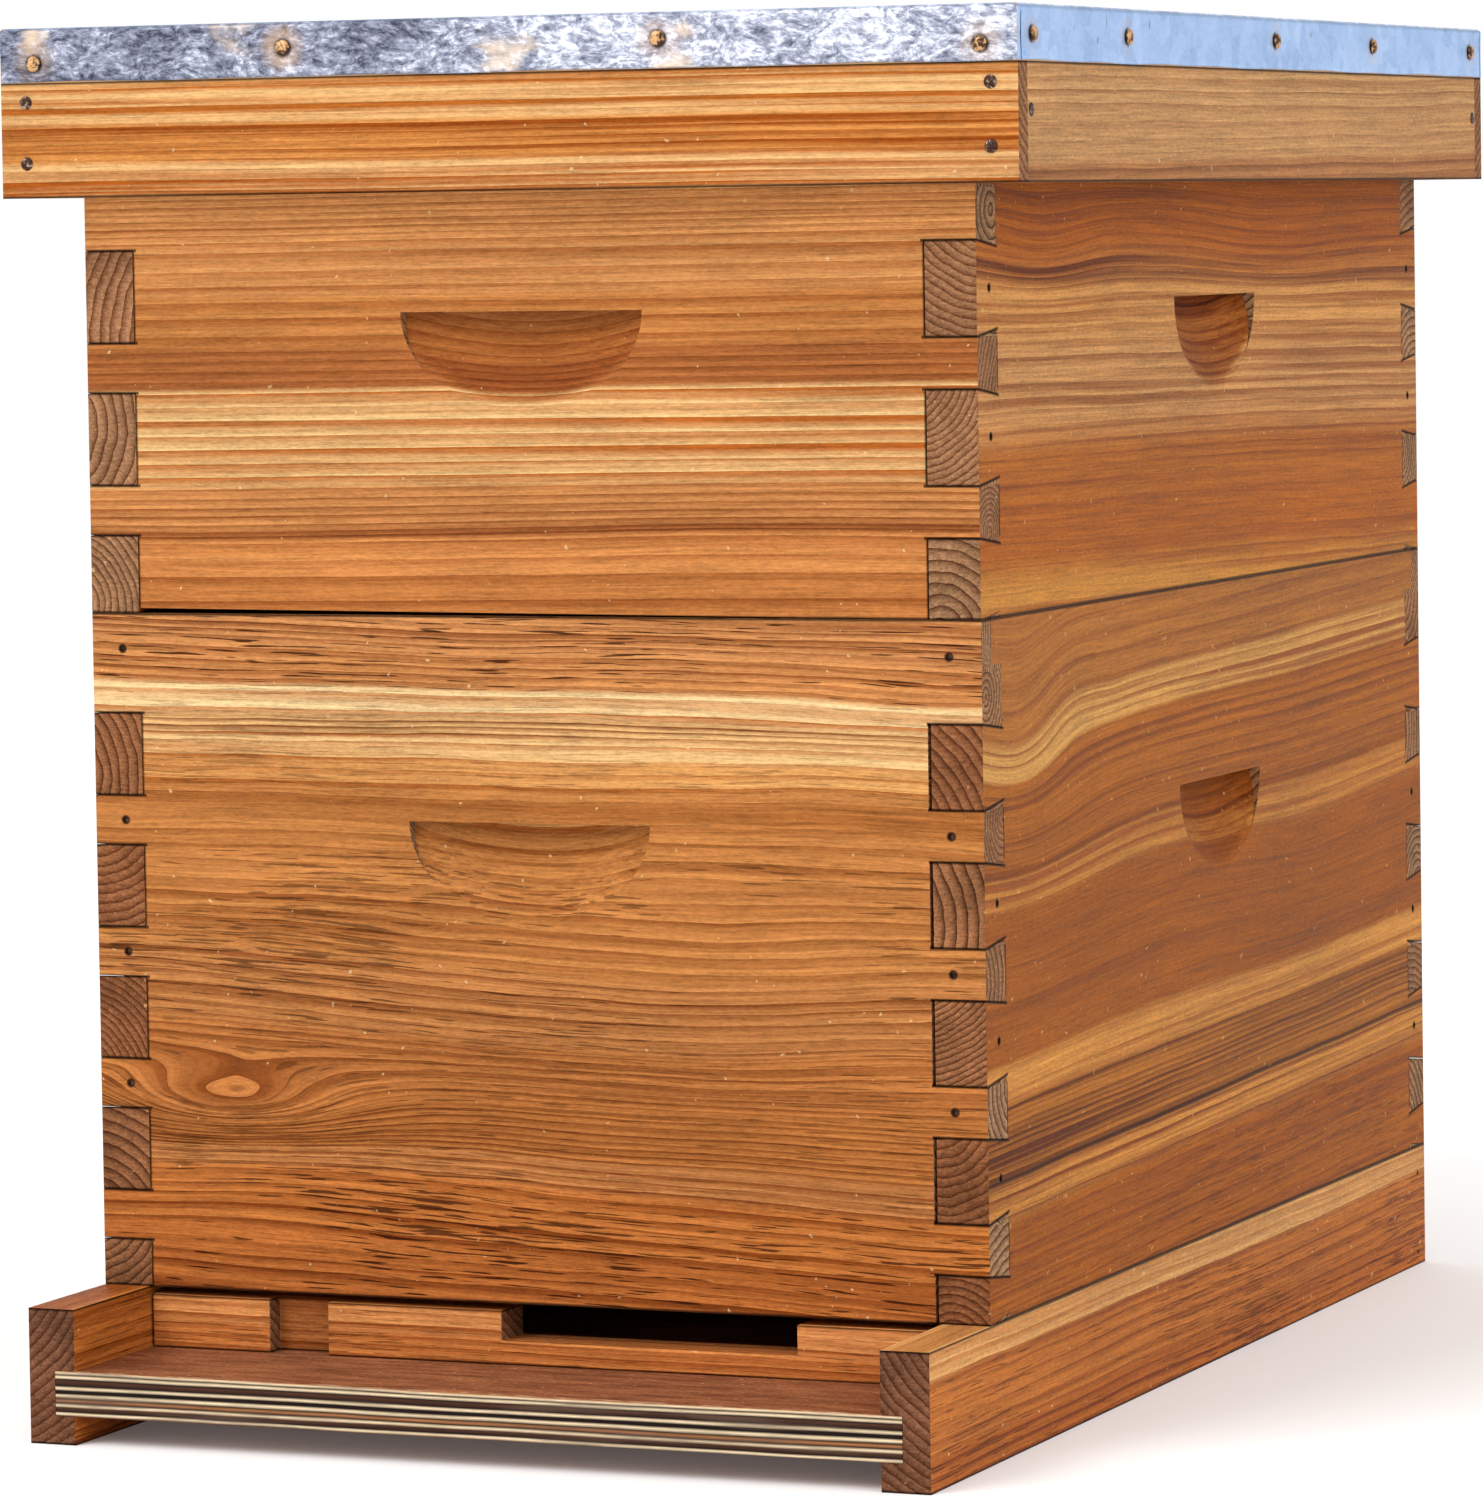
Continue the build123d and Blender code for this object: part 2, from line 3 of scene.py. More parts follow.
import math
from dataclasses import dataclass, replace
from functools import partialmethod

import bmesh
import bpy
import numpy as np
from bpy.props import FloatProperty, FloatVectorProperty, IntProperty, PointerProperty
from mathutils import Matrix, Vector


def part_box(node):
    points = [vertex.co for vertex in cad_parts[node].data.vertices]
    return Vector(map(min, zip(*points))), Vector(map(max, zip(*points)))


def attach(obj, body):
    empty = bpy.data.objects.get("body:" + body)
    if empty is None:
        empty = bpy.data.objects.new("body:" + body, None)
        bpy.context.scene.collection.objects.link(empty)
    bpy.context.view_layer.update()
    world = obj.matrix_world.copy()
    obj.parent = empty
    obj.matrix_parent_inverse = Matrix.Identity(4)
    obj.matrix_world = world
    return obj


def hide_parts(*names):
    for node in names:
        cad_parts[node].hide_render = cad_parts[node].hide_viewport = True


bl_info = {
    "name": "Beehive looks",
    "version": (1, 0, 0),
    "blender": (4, 5, 0),
    "location": "3D View > Sidebar > Beehive",
    "description": "Timber, zinc, nails and foundation for a framed wooden hive",
    "category": "Object",
}

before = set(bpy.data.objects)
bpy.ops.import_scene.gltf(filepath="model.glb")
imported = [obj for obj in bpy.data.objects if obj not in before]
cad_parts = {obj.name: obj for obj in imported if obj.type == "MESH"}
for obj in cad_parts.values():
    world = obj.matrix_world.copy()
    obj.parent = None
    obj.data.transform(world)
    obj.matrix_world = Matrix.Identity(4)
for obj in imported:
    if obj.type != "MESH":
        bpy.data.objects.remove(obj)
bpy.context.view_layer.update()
MM = 0.001


def srgb(red, green, blue):
    """A colour given as 0 to 255 on screen, as the linear values that a shader takes."""
    levels = np.array((red, green, blue)) / 255.0
    linear = np.where(levels <= 0.04045, levels / 12.92, ((levels + 0.055) / 1.055) ** 2.4)
    return (*(float(level) for level in linear), 1.0)


def corners(node):
    """The low and the high corner of a CAD node's box."""
    return [np.array(corner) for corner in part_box(node)]


# ---- shader sockets

class Wire:
    """A number, vector or colour socket. Arithmetic on it adds Math nodes to its tree."""

    def __init__(self, paint, socket):
        self.paint = paint
        self.socket = socket

    def math(self, operation, *others, clamp=False):
        return self.paint.node(
            "ShaderNodeMath", {"operation": operation, "use_clamp": clamp},
            dict(enumerate((self, *others))),
        )

    __add__ = __radd__ = partialmethod(math, "ADD")
    __sub__ = partialmethod(math, "SUBTRACT")
    __mul__ = partialmethod(math, "MULTIPLY")
    __truediv__ = partialmethod(math, "DIVIDE")
    __pow__ = partialmethod(math, "POWER")
    __gt__ = partialmethod(math, "GREATER_THAN")
    __lt__ = partialmethod(math, "LESS_THAN")
    __abs__ = partialmethod(math, "ABSOLUTE")
    floor = partialmethod(math, "FLOOR")
    remainder = partialmethod(math, "FRACT")
    least = partialmethod(math, "MINIMUM")
    most = partialmethod(math, "MAXIMUM")

    def __rsub__(self, other):
        return self.paint.node("ShaderNodeMath", {"operation": "SUBTRACT"}, {0: other, 1: self})

    def clamped(self):
        return self.math("ADD", 0.0, clamp=True)

    def between(self, low, high):
        """0 below low, 1 above high and a smooth rise between."""
        return self.paint.node(
            "ShaderNodeMapRange", {"interpolation_type": "SMOOTHSTEP"},
            {"Value": self, "From Min": low, "From Max": high},
        )


class Paint:
    """The node tree of one material around a Principled shader."""

    def __init__(self, name, **fixed):
        self.material = bpy.data.materials.new(name)
        self.material.use_nodes = True
        self.tree = self.material.node_tree
        self.shader = self.tree.nodes["Principled BSDF"]
        for socket_name, value in fixed.items():
            self.shader.inputs[socket_name.replace("_", " ")].default_value = value

    def node(self, kind, settings=None, inputs=None, output=0):
        """Any node: its settings come first, then values or links for its sockets."""
        made = self.tree.nodes.new(kind)
        for key, value in (settings or {}).items():
            if key == "stops":
                self.fill_ramp(made.color_ramp, value)
            else:
                setattr(made, key, value)
        for key, value in (inputs or {}).items():
            if isinstance(value, Wire):
                self.tree.links.new(value.socket, made.inputs[key])
            else:
                made.inputs[key].default_value = value
        return Wire(self, made.outputs[output])

    @staticmethod
    def fill_ramp(ramp, stops):
        ramp.elements.remove(ramp.elements[-1])
        for index, (place, colour) in enumerate(stops):
            element = ramp.elements[0] if index == 0 else ramp.elements.new(place)
            element.position = place
            element.color = colour

    def place(self):
        """The object coordinates as three separate numbers."""
        self.spot = self.split(self.node("ShaderNodeTexCoord", output=3))
        return self.spot

    def facing(self):
        """The object-space normal as three separate numbers."""
        return self.split(self.node("ShaderNodeTexCoord", output=1))

    def turned(self, axis):
        """1 on the surfaces that look along an axis and 0 on the others."""
        return abs(self.facing()[axis]).between(0.5, 0.8)

    def split(self, vector):
        return [
            self.node("ShaderNodeSeparateXYZ", inputs={0: vector}, output=axis) for axis in range(3)
        ]

    def join(self, x, y, z):
        return self.node("ShaderNodeCombineXYZ", inputs={0: x, 1: y, 2: z})

    def noise(self, x, y, z, scale=1.0, detail=2.0, rough=0.5):
        return self.node("ShaderNodeTexNoise", inputs={
            "Vector": self.join(x, y, z), "Scale": scale, "Detail": detail, "Roughness": rough,
        })

    def texture(self, across_x, across_y, across_z, **kind):
        """Noise over the object coordinates, with so many waves to the metre along each axis."""
        x, y, z = self.spot
        return self.noise(x * across_x, y * across_y, z * across_z, **kind)

    def chance(self, number, output=0):
        """A random number for each number, or with output 1 a random colour."""
        return self.node(
            "ShaderNodeTexWhiteNoise", {"noise_dimensions": "1D"}, {"W": number}, output
        )

    def mark(self, name):
        """A number stored with the points of the mesh."""
        return self.node("ShaderNodeAttribute", {"attribute_name": name}, output=2)

    def ramp(self, factor, stops):
        return self.node("ShaderNodeValToRGB", {"stops": stops}, {0: factor})

    def mix(self, factor, first, second, blend="MIX"):
        """A colour between two colours."""
        return self.node(
            "ShaderNodeMix", {"data_type": "RGBA", "blend_type": blend},
            {0: factor, 6: first, 7: second}, output=2,
        )

    def shade(self, colour, value):
        """A colour multiplied by a number."""
        return self.mix(1.0, colour, self.join(value, value, value), "MULTIPLY")

    def bump(self, height, distance, strength):
        return self.node(
            "ShaderNodeBump", inputs={"Height": height, "Distance": distance, "Strength": strength}
        )

    def finish(self, colour, roughness, normal):
        """Links the finished values to the shader and returns the material."""
        for name, value in (("Base Color", colour), ("Roughness", roughness), ("Normal", normal)):
            self.tree.links.new(value.socket, self.shader.inputs[name])
        return self.material


# ---- timber

@dataclass
class Strip:
    """One band of a board, up to its top in mm above the board's lower edge. A board's table gives
    each strip as one row of these values."""

    top: float
    ring: float            # width of a year's growth in mm
    edge: float            # how sharply a ring ends: 1 for even stripes, more for thin lines
    light: tuple           # early wood
    dark: tuple            # late wood
    ticks: float = 0.0     # share of short resin marks


@dataclass
class Board:
    """How the wood of a board runs. Its lengths are in mm."""

    strips: tuple
    slope: float = 0.0                 # how far the grain climbs along the board
    tilt: float = 1.2                  # how far a ring climbs on its way in
    swells: tuple = ()                 # (run, rise, length, height, push) where the grain swerves
    joint: tuple = None                # lowest tail's top, pitch, pin and top pin of the dovetails
    waves: float = 1.0                 # how wavy the grain is
    heart: tuple = (70.0, 46.0)        # middle of the ends' rings: up from below, in from the face
    handhold_shade_and_wax: float = 0.6               # how much darker the handhold is: painted shade in the recess, and cut wood that takes up more wax
    streaks: float = 1.0               # contrast of the fine stripes
    tint: tuple = (1.0, 1.0, 1.0)      # share of red, green and blue that the faces keep
    ends: tuple = (1.0, 1.0, 1.0)      # and that the ends keep
    nails: tuple = None                # heights between which it is nailed, drop of the top nail
    blend: float = 1.0                 # over which one strip passes into the next

    def __post_init__(self):
        self.strips = [row if isinstance(row, Strip) else Strip(*row) for row in self.strips]


MOST_EDGE = 8.0                        # edge and years are stored in a ramp as shares of these
MOST_YEARS = 128.0
BOX_NAIL_INSET = 12.0 * MM
HANDHOLD_LIMIT = 14.5 * MM             # deeper than any handhold is cut
WAX_TINT = (0.67, 0.60, 0.46)          # share of red, green and blue that the wax lets back out


def strip_stops(board, height):
    """Ramp stops for the light wood, the dark wood, and years from below with edge and ticks."""
    light, dark, marks = [], [], []
    low, years = 0.0, 0.0
    for strip in board.strips:
        soft = min(board.blend, (strip.top - low) * 0.4)
        count = years + (strip.top - low) / strip.ring
        for place, year in (
            (low + soft, years + soft / strip.ring), (strip.top - soft, count - soft / strip.ring)
        ):
            share = min(max(place / height, 0.0), 1.0)
            light.append((share, srgb(*strip.light)))
            dark.append((share, srgb(*strip.dark)))
            marks.append((share, (year / MOST_YEARS, strip.edge / MOST_EDGE, strip.ticks, 1.0)))
        low, years = strip.top, count
    return light, dark, marks


def timber(node, grain, outer, board, seed, gloss):
    """Waxed softwood as a solid texture, so that faces, ends and hollows all show the same wood.

    The climb of the grain picks the strip's colours and counts the years; the remainder of the
    count, raised to the strip's edge, is the share of dark late wood.
    """
    paint = Paint(f"{node}_wood", Specular_IOR_Level=0.03)
    low, high = corners(node)
    place = paint.place()
    along_axis = "XYZ".index(grain)
    deep_axis = 1 - along_axis
    along, across, deep = place[along_axis], place[2], place[deep_axis]
    face = low[deep_axis] if outer == "low" else high[deep_axis]
    inward = 1.0 if outer == "low" else -1.0
    middle = float(low[along_axis] + high[along_axis]) / 2
    half = float(high[along_axis] - low[along_axis]) / 2
    height = float(high[2] - low[2])
    run = along - middle
    rise = across - float(low[2])
    inset = (deep - float(face)) * inward

    climb = grain_climb(paint, board, run, rise, inset, seed)
    share = (climb / height).math("PINGPONG", 1.0)
    light, dark, marks = strip_stops(board, height / MM)
    years, edge, ticks = paint.split(paint.ramp(share, marks))
    early = paint.ramp(share, light)
    late = paint.ramp(share, dark)

    flow = climb - inset * (board.tilt * 0.5)
    uneven = paint.noise(run * 0.8 + seed, flow * 70.0, 0.0, detail=1.0)
    count = years * MOST_YEARS + uneven * (0.5 + 1.8 * board.waves)
    vary = paint.chance(count.floor() + seed)
    line = (count.remainder() ** (edge * MOST_EDGE)) * (0.62 + vary * 0.45)
    streak = paint.noise(run * 2.2 + seed, flow * 240.0, inset * 240.0, detail=3.0, rough=0.6)
    late_share = (line + (streak - 0.5) * (2.3 * board.streaks) + 0.02).clamped()
    wood = paint.mix(late_share, early, late)

    fibre = paint.noise(run * 22.0 + seed, flow * 950.0, inset * 950.0, detail=4.0, rough=0.8)
    blotch = paint.noise(run * 6.0 + seed, rise * 18.0, inset * 18.0, detail=5.0, rough=0.6)
    grit = paint.noise(along * 300.0, across * 1150.0, deep * 1150.0, detail=3.0, rough=0.85)
    tone = 1.05 + (fibre - 0.5) * 1.7 + (blotch - 0.5) * 0.70 + (grit - 0.5) * 1.2
    dash = paint.noise(run * 40.0 + seed, flow * 1050.0, inset * 1050.0, detail=1.0)
    crowd = paint.noise(run * 7.0 + seed, rise * 22.0 + 5.0, inset * 22.0)
    dash = (dash + (crowd - 0.5) * 0.55).between(0.625, 0.675) * ticks
    wood = paint.mix(dash * 0.92, wood, srgb(66, 26, 9))
    # Darker in the handhold recesses: painted shade there, and cut wood that takes up more wax.
    cut = inset.between(0.0003, 0.0018) * (inset < HANDHOLD_LIMIT)
    wood = paint.mix(cut * board.handhold_shade_and_wax, wood, (0.58, 0.38, 0.24, 1.0), "MULTIPLY")

    facing = paint.facing()
    end = abs(facing[along_axis]).between(0.6, 0.8)
    end_colour, end_late, saw = end_wood(paint, board, run, rise, inset, seed)
    wood = paint.mix(end, wood, end_colour)
    speck = paint.noise(along * 330.0, across * 330.0, deep * 330.0, detail=1.0)
    wood = paint.mix(speck.between(0.745, 0.79) * 0.55, wood, srgb(255, 232, 200))

    waxed, waxed_end = (
        (*(let_out * keep for let_out, keep in zip(WAX_TINT, kept)), 1.0)
        for kept in (board.tint, board.ends)
    )
    # Painted shade: the upright faces darken to a thin line along their top and bottom edges, for
    # the shadow in the gaps between boards and boxes.
    level = abs(facing[2]).between(0.5, 0.8)
    rim = rise.least(height - rise).between(0.0003, 0.0012).most(level)
    tone = tone * (0.12 + rim * 0.88)
    if board.joint:
        tone = tone * (1.0 - joint_line(board, grain, run, rise, inset, half, height) * 0.86)
    wood = paint.mix(1.0, paint.shade(wood, tone), paint.mix(end, waxed, waxed_end), "MULTIPLY")
    # Painted shade: a near-black disc round each nail on the outer face, for the shade of a wider
    # nail hole.
    if board.nails:
        stain_and_hole_shade = nail_hole_shade(board, grain, run, rise, half, height) * (inset < 0.004)
        wood = paint.mix(stain_and_hole_shade * 0.93, wood, srgb(34, 18, 12))
    rough = gloss + (fibre - 0.5) * 0.25 + blotch * 0.12 + end * 0.2 - late_share * 0.06
    relief = fibre * 0.9 + line * 0.35 - dash * 0.9 + end * (end_late * 0.8 + saw * 0.9)
    return paint.finish(wood, rough, paint.bump(relief, 0.0006, 0.9))


def grain_climb(paint, board, run, rise, inset, seed):
    """How high the grain at a point stands on the board: its own height, the slope of the grain,
    the tilt of the rings, swerving noise and the swells."""
    drift = paint.noise(run * 2.6 + seed, rise * 8.0, inset * 8.0)
    tremble = paint.noise(run * 16.0 + seed, rise * 60.0, inset * 60.0)
    climb = rise + run * board.slope + inset * board.tilt
    climb = climb + (drift - 0.5) * (0.020 * board.waves) + (tremble - 0.5) * (0.0030 * board.waves)
    for swell_run, swell_rise, length, tall, push in board.swells:
        away_run = (run - swell_run * MM) / (length * MM)
        away_rise = (rise - swell_rise * MM) / (tall * MM)
        fall = (away_run * away_run + away_rise * away_rise) * -0.5
        climb = climb + fall.math("EXPONENT") * (push * MM)
    return climb


def end_wood(paint, board, run, rise, inset, seed):
    """The colour of sawn end grain, with the share of late wood in it and its saw marks."""
    cell, up, into, ring = end_heart(paint, board, run, rise, inset, seed)
    radius = distance(up, into)
    warp = paint.noise(up * 90.0, into * 90.0, cell, detail=3.0)
    late = ((radius + warp * 0.0030) / ring).remainder() ** 2.2
    saw = paint.noise(up * 1100.0, into * 300.0, cell, detail=3.0, rough=0.7)
    colour = paint.mix(late, srgb(222, 178, 148), srgb(72, 40, 26))
    colour = paint.mix(paint.chance(cell + 3.3) * 0.42, colour, srgb(158, 90, 52))
    stain_and_hole_shade = paint.noise(up * 50.0, into * 50.0, cell + 9.0, detail=3.0)
    return paint.shade(colour, (0.08 + saw * 1.2) * (0.42 + stain_and_hole_shade * 1.3)), late, saw


def end_heart(paint, board, run, rise, inset, seed):
    """The number of an end's part, where a point lies from the middle of its rings, and the ring's
    width. A dovetailed board has a different middle in each tail or pin, drawn from its number."""
    if not board.joint:
        up, into = board.heart
        return 0.0, rise - up * MM, inset - into * MM, 0.0034
    first, pitch, pin, _ = (size * MM for size in board.joint)
    level = rise - (first + pin)
    number = (level / pitch).floor()
    cell = number + (run > 0.0) * 31.0 + seed * 7.0
    nudge_up, nudge_in, nudge_ring = paint.split(paint.chance(cell, output=1))
    up = level - number * pitch - (pitch - pin) / 2 + (nudge_up - 0.5) * 0.080
    into = inset - 0.0095 + (nudge_in - 0.5) * 0.110
    return cell, up, into, 0.0019 + nudge_ring * 0.0024


def wrapped(number, span):
    """What is left of a number after whole spans are taken away."""
    return number - (number / span).floor() * span


def distance(first, second):
    return (first * first + second * second) ** 0.5


def joint_line(board, grain, run, rise, inset, half, height):
    """1 on the dark glue lines round the tails and pins, fading out within a millimetre."""
    first, pitch, pin, top_pin = (size * MM for size in board.joint)
    reach = half - abs(run)
    depth = (inset if grain == "X" else reach) * 0.125
    level = rise - first
    level = wrapped(level, pitch)
    flank = (level + depth).least(abs(level - pin - depth))
    flank = flank.least(abs(level - pitch + depth))
    below_top = rise < (height - top_pin + 0.0009)
    flank_line = (1.0 - flank.between(0.0002, 0.0009)) * (reach < 0.0205)
    shoulder = abs(reach - 0.019)
    across_tail = (level > pin) if grain == "X" else (level < pin)
    shoulder_line = (1.0 - shoulder.between(0.0004, 0.0012)) * across_tail
    return flank_line.most(shoulder_line) * below_top


def nail_hole_shade(board, grain, run, rise, half, height):
    """1 in the painted shade of a wider nail hole round each nail of a joint, fading out at its
    edge.
    """
    first, pitch, pin, _ = (size * MM for size in board.joint)
    lowest, highest, top_drop = (size * MM for size in board.nails)
    centre = first + pin / 2 if grain == "X" else first + (pin + pitch) / 2
    beside = half - abs(run) - BOX_NAIL_INSET
    above = rise - (centre - pitch / 2)
    above = wrapped(above, pitch) - pitch / 2
    nailed = (rise > lowest) * (rise < highest)
    stain_and_hole_shade = (1.0 - distance(above, beside).between(0.0013, 0.0021)) * nailed
    if top_drop:
        away = distance(rise - (height - top_drop), beside)
        stain_and_hole_shade = stain_and_hole_shade.most(1.0 - away.between(0.0013, 0.0021))
    return stain_and_hole_shade


def plywood(node, light_film, dark_film):
    """A floor panel: film on both faces and a bare edge that shows its veneers."""
    paint = Paint("film_plywood", Specular_IOR_Level=0.1)
    low, high = corners(node)
    x, y, z = paint.place()
    wave = paint.texture(7.0, 7.0, 60.0, detail=3.0)
    share = (z - float(low[2]) + (wave - 0.5) * 0.0018) / float(high[2] - low[2])
    cream, tan = srgb(252, 226, 186), srgb(176, 118, 76)
    dark, umber = srgb(30, 17, 14), srgb(84, 52, 38)
    edge = paint.ramp(share, [
        (0.0, umber), (0.05, cream), (0.09, dark), (0.19, umber), (0.24, cream), (0.29, dark),
        (0.35, tan), (0.40, dark), (0.46, cream), (0.51, dark), (0.58, dark), (0.63, cream),
        (0.68, dark), (0.78, umber), (0.82, dark), (0.87, cream), (0.92, dark), (0.965, cream),
        (1.0, tan),
    ])
    tear = paint.texture(60.0, 60.0, 1400.0, detail=4.0, rough=0.75)
    grey = paint.texture(16.0, 16.0, 260.0, detail=4.0).between(0.50, 0.66)
    edge = paint.mix(grey * 0.45, edge, srgb(104, 84, 72))
    edge = paint.shade(edge, 0.15 + tear * 1.25)
    film = paint.noise(x * 26.0, y * 150.0, z, detail=6.0, rough=0.75)
    grit = paint.noise(x * 500.0, y * 900.0, z)
    speck = paint.noise(x * 420.0, y * 420.0, z, detail=1.0).between(0.70, 0.78)
    top = paint.mix(film.between(0.3, 0.7), dark_film, light_film)
    top = paint.shade(top, 0.25 + grit * 1.45)
    top = paint.mix(speck * 0.6, top, srgb(215, 180, 150))
    chips = paint.noise(x * 120.0, y * 500.0, z).between(0.45, 0.65)
    worn = (y - float(low[1])).between(0.0030, 0.0) * chips
    top = paint.mix(worn, top, srgb(216, 178, 142))
    flat = paint.turned(2)
    colour = paint.mix(flat, edge, top)
    rough = 0.66 - flat * 0.2 + film * 0.12
    return paint.finish(colour, rough, paint.bump(tear + film + grit * 0.6, 0.0005, 0.8))


# ---- zinc, nails and wax

def zinc(low, high):
    """Galvanised sheet: feathered crystals, smeared from dull grey to bright, with a bloom of rust.

    The end flanges carry a painted reflection, darker at the left and brighter towards the right,
    and the side flanges a painted reflection of an even pale blue. The attribute near_nail is 1
    under a nail head and fades out round it, and seam is 1 in a corner seam."""
    paint = Paint("weathered_zinc", Metallic=0.75, Specular_IOR_Level=0.4)
    x, y, z = paint.place()
    side = paint.turned(0)
    top = paint.turned(2)
    swirl = paint.texture(40.0, 40.0, 60.0, detail=3.0)
    push = swirl * 6.0
    feather = paint.noise(
        x * 230.0 + push, y * 230.0 + push, z * 460.0 - swirl * 5.0, detail=6.0, rough=0.75
    )
    shifted = paint.join(x + swirl * 0.010, y, z + swirl * 0.010)
    crystal = paint.node(
        "ShaderNodeTexVoronoi", {"feature": "F1"},
        {"Vector": shifted, "Scale": 120.0, "Randomness": 1.0}, output=1,
    )
    facet = paint.split(crystal)[0]
    cloud = paint.noise(x * 16.0 + 3.0, y * 16.0, z * 34.0, detail=5.0, rough=0.65)
    # Painted reflection: the end flanges brighten from left to right.
    across = (x - float(low[0])) / float(high[0] - low[0])
    shine = across.between(0.30, 0.62) * 0.20 + (cloud - 0.5) * 0.85
    level = (shine + 0.15 + (feather - 0.5) * 1.55 + facet * 0.12).clamped()
    front = paint.ramp(level, [
        (0.02, srgb(58, 60, 76)), (0.20, srgb(112, 116, 134)), (0.36, srgb(156, 160, 178)),
        (0.52, srgb(214, 218, 232)), (0.70, srgb(252, 252, 255)),
    ])
    bloom = paint.noise(x * 24.0 + 11.0, y * 24.0, z * 40.0, detail=4.0).between(0.58, 0.70)
    front = paint.mix(bloom * (0.75 - top * 0.5), front, srgb(232, 206, 176))
    # Painted reflection: the side flanges, and a little of the top, take an even pale blue in place
    # of the end flanges' colours.
    pale = paint.ramp(
        (feather * 0.5 + facet * 0.16 + cloud * 0.4).clamped(),
        [(0.25, srgb(124, 148, 186)), (0.45, srgb(150, 180, 222)), (0.75, srgb(182, 206, 242))],
    )
    scratch = paint.noise(x * 90.0, y * 240.0 + 2.0, z * 90.0, detail=3.0).between(0.70, 0.76)
    pale = paint.mix(scratch * 0.6, pale, srgb(60, 66, 84))
    colour = paint.mix(side.most(top * 0.3), front, pale)
    near = paint.mark("near_nail")
    rust = near.between(0.12, 0.7) * (cloud.between(0.35, 0.65) * 0.5) * (1.0 - side * 0.6)
    colour = paint.mix(rust, colour, srgb(214, 176, 134))
    # Painted shadow: a dark ring close round each nail head, in the dimple of the sheet.
    colour = paint.mix(near.between(0.74, 0.90) * 0.9, colour, srgb(38, 26, 20))
    seam = paint.mark("seam").between(0.2, 0.8)
    crease = 1.0 - (float(high[2]) - z).between(0.0004, 0.0022) * (1.0 - top)
    shadow = seam.most(crease * (1.0 - top) * 0.4)
    colour = paint.mix(shadow, colour, srgb(40, 38, 46))
    rough = 0.34 + feather * 0.22 + rust * 0.3
    return paint.finish(colour, rough, paint.bump(feather + facet * 0.3, 0.0005, 0.5))


def nail_steel(name, light, dark, worn):
    """Nail wire with bright worn spots in dark tarnish; a higher worn leaves fewer of them."""
    paint = Paint(name, Metallic=0.7)
    x, y, z = paint.place()
    spot = paint.noise(x, y, z, scale=420.0, detail=4.0, rough=0.7)
    colour = paint.mix(spot.between(worn - 0.07, worn + 0.07), dark, light)
    return paint.finish(colour, 0.32 + spot * 0.3, paint.bump(spot, 0.0004, 0.7))


END_BAR = 9.5 * MM
END_BAR_GAP = 0.3 * MM


def bare_pine(bottom_bar):
    """Unfinished frame wood: its grain runs along Y, and upright in the end bars, which take up the
    last of the bottom bar's length."""
    paint = Paint("frame_pine", Specular_IOR_Level=0.3)
    low, high = corners(bottom_bar)
    x, y, z = paint.place()
    reach = float(high[1] - low[1]) / 2
    from_middle = abs(y - float(low[1] + high[1]) / 2)
    upright = (from_middle > (reach - END_BAR)) * (from_middle < (reach + END_BAR_GAP))
    fibre = paint.noise(
        x * 900.0, y * (46.0 + upright * 850.0), z * (900.0 - upright * 850.0),
        detail=3.0, rough=0.7,
    )
    band = paint.noise(
        x * 130.0, y * (1.6 + upright * 128.0), z * (130.0 - upright * 128.0), detail=3.0
    )
    colour = paint.mix(band.between(0.42, 0.68), srgb(232, 192, 136), srgb(196, 142, 86))
    colour = paint.shade(colour, 0.62 + fibre * 0.60)
    return paint.finish(colour, 0.55 + fibre * 0.2, paint.bump(fibre + band, 0.0003, 0.7))


def beeswax():
    """Clouded yellow wax with a grain of pressing marks."""
    paint = Paint("rolled_beeswax", Subsurface_Weight=0.1, Subsurface_Scale=0.003)
    x, y, z = paint.place()
    cloud = paint.texture(20.0, 20.0, 20.0, detail=5.0, rough=0.6)
    mark = paint.texture(700.0, 700.0, 700.0)
    colour = paint.mix(cloud.between(0.35, 0.65), srgb(222, 150, 62), srgb(246, 198, 108))
    return paint.finish(colour, 0.42 + cloud * 0.2, paint.bump(mark, 0.0002, 0.5))


def plain_board(name, light, dark):
    """Thin plywood or pressed board with short flecks."""
    paint = Paint(name)
    x, y, z = paint.place()
    fleck = paint.texture(60.0, 320.0, 320.0, detail=4.0, rough=0.65)
    cloud = paint.texture(7.0, 7.0, 7.0, detail=3.0)
    colour = paint.mix(fleck, srgb(*dark), srgb(*light))
    colour = paint.shade(colour, 0.86 + cloud * 0.26)
    return paint.finish(colour, 0.6 + fleck * 0.15, paint.bump(fleck, 0.0003, 0.6))


# ---- surfaces

def ring_faces(rings, around, first=0):
    """The four corners of each cell between rings of points, as one array."""
    ring, step = np.meshgrid(np.arange(rings - 1), np.arange(around), indexing="ij")
    beside = (step + 1) % around
    cells = (ring * around + step, ring * around + beside,
             (ring + 1) * around + beside, (ring + 1) * around + step)
    return np.stack([cell.ravel() for cell in cells], axis=1) + first


def put(name, data):
    """A new object in the scene."""
    made = bpy.data.objects.new(name, data)
    bpy.context.scene.collection.objects.link(made)
    return made


def new_piece(name, points, faces, material, body, smooth=True):
    """A mesh object at the origin that rides on a body."""
    mesh = bpy.data.meshes.new(name)
    mesh.from_pydata(points.tolist(), [], faces.tolist())
    mesh.validate()
    mesh.polygons.foreach_set("use_smooth", [smooth] * len(mesh.polygons))
    mesh.materials.append(material)
    piece = put(name, mesh)
    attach(piece, body)
    return piece


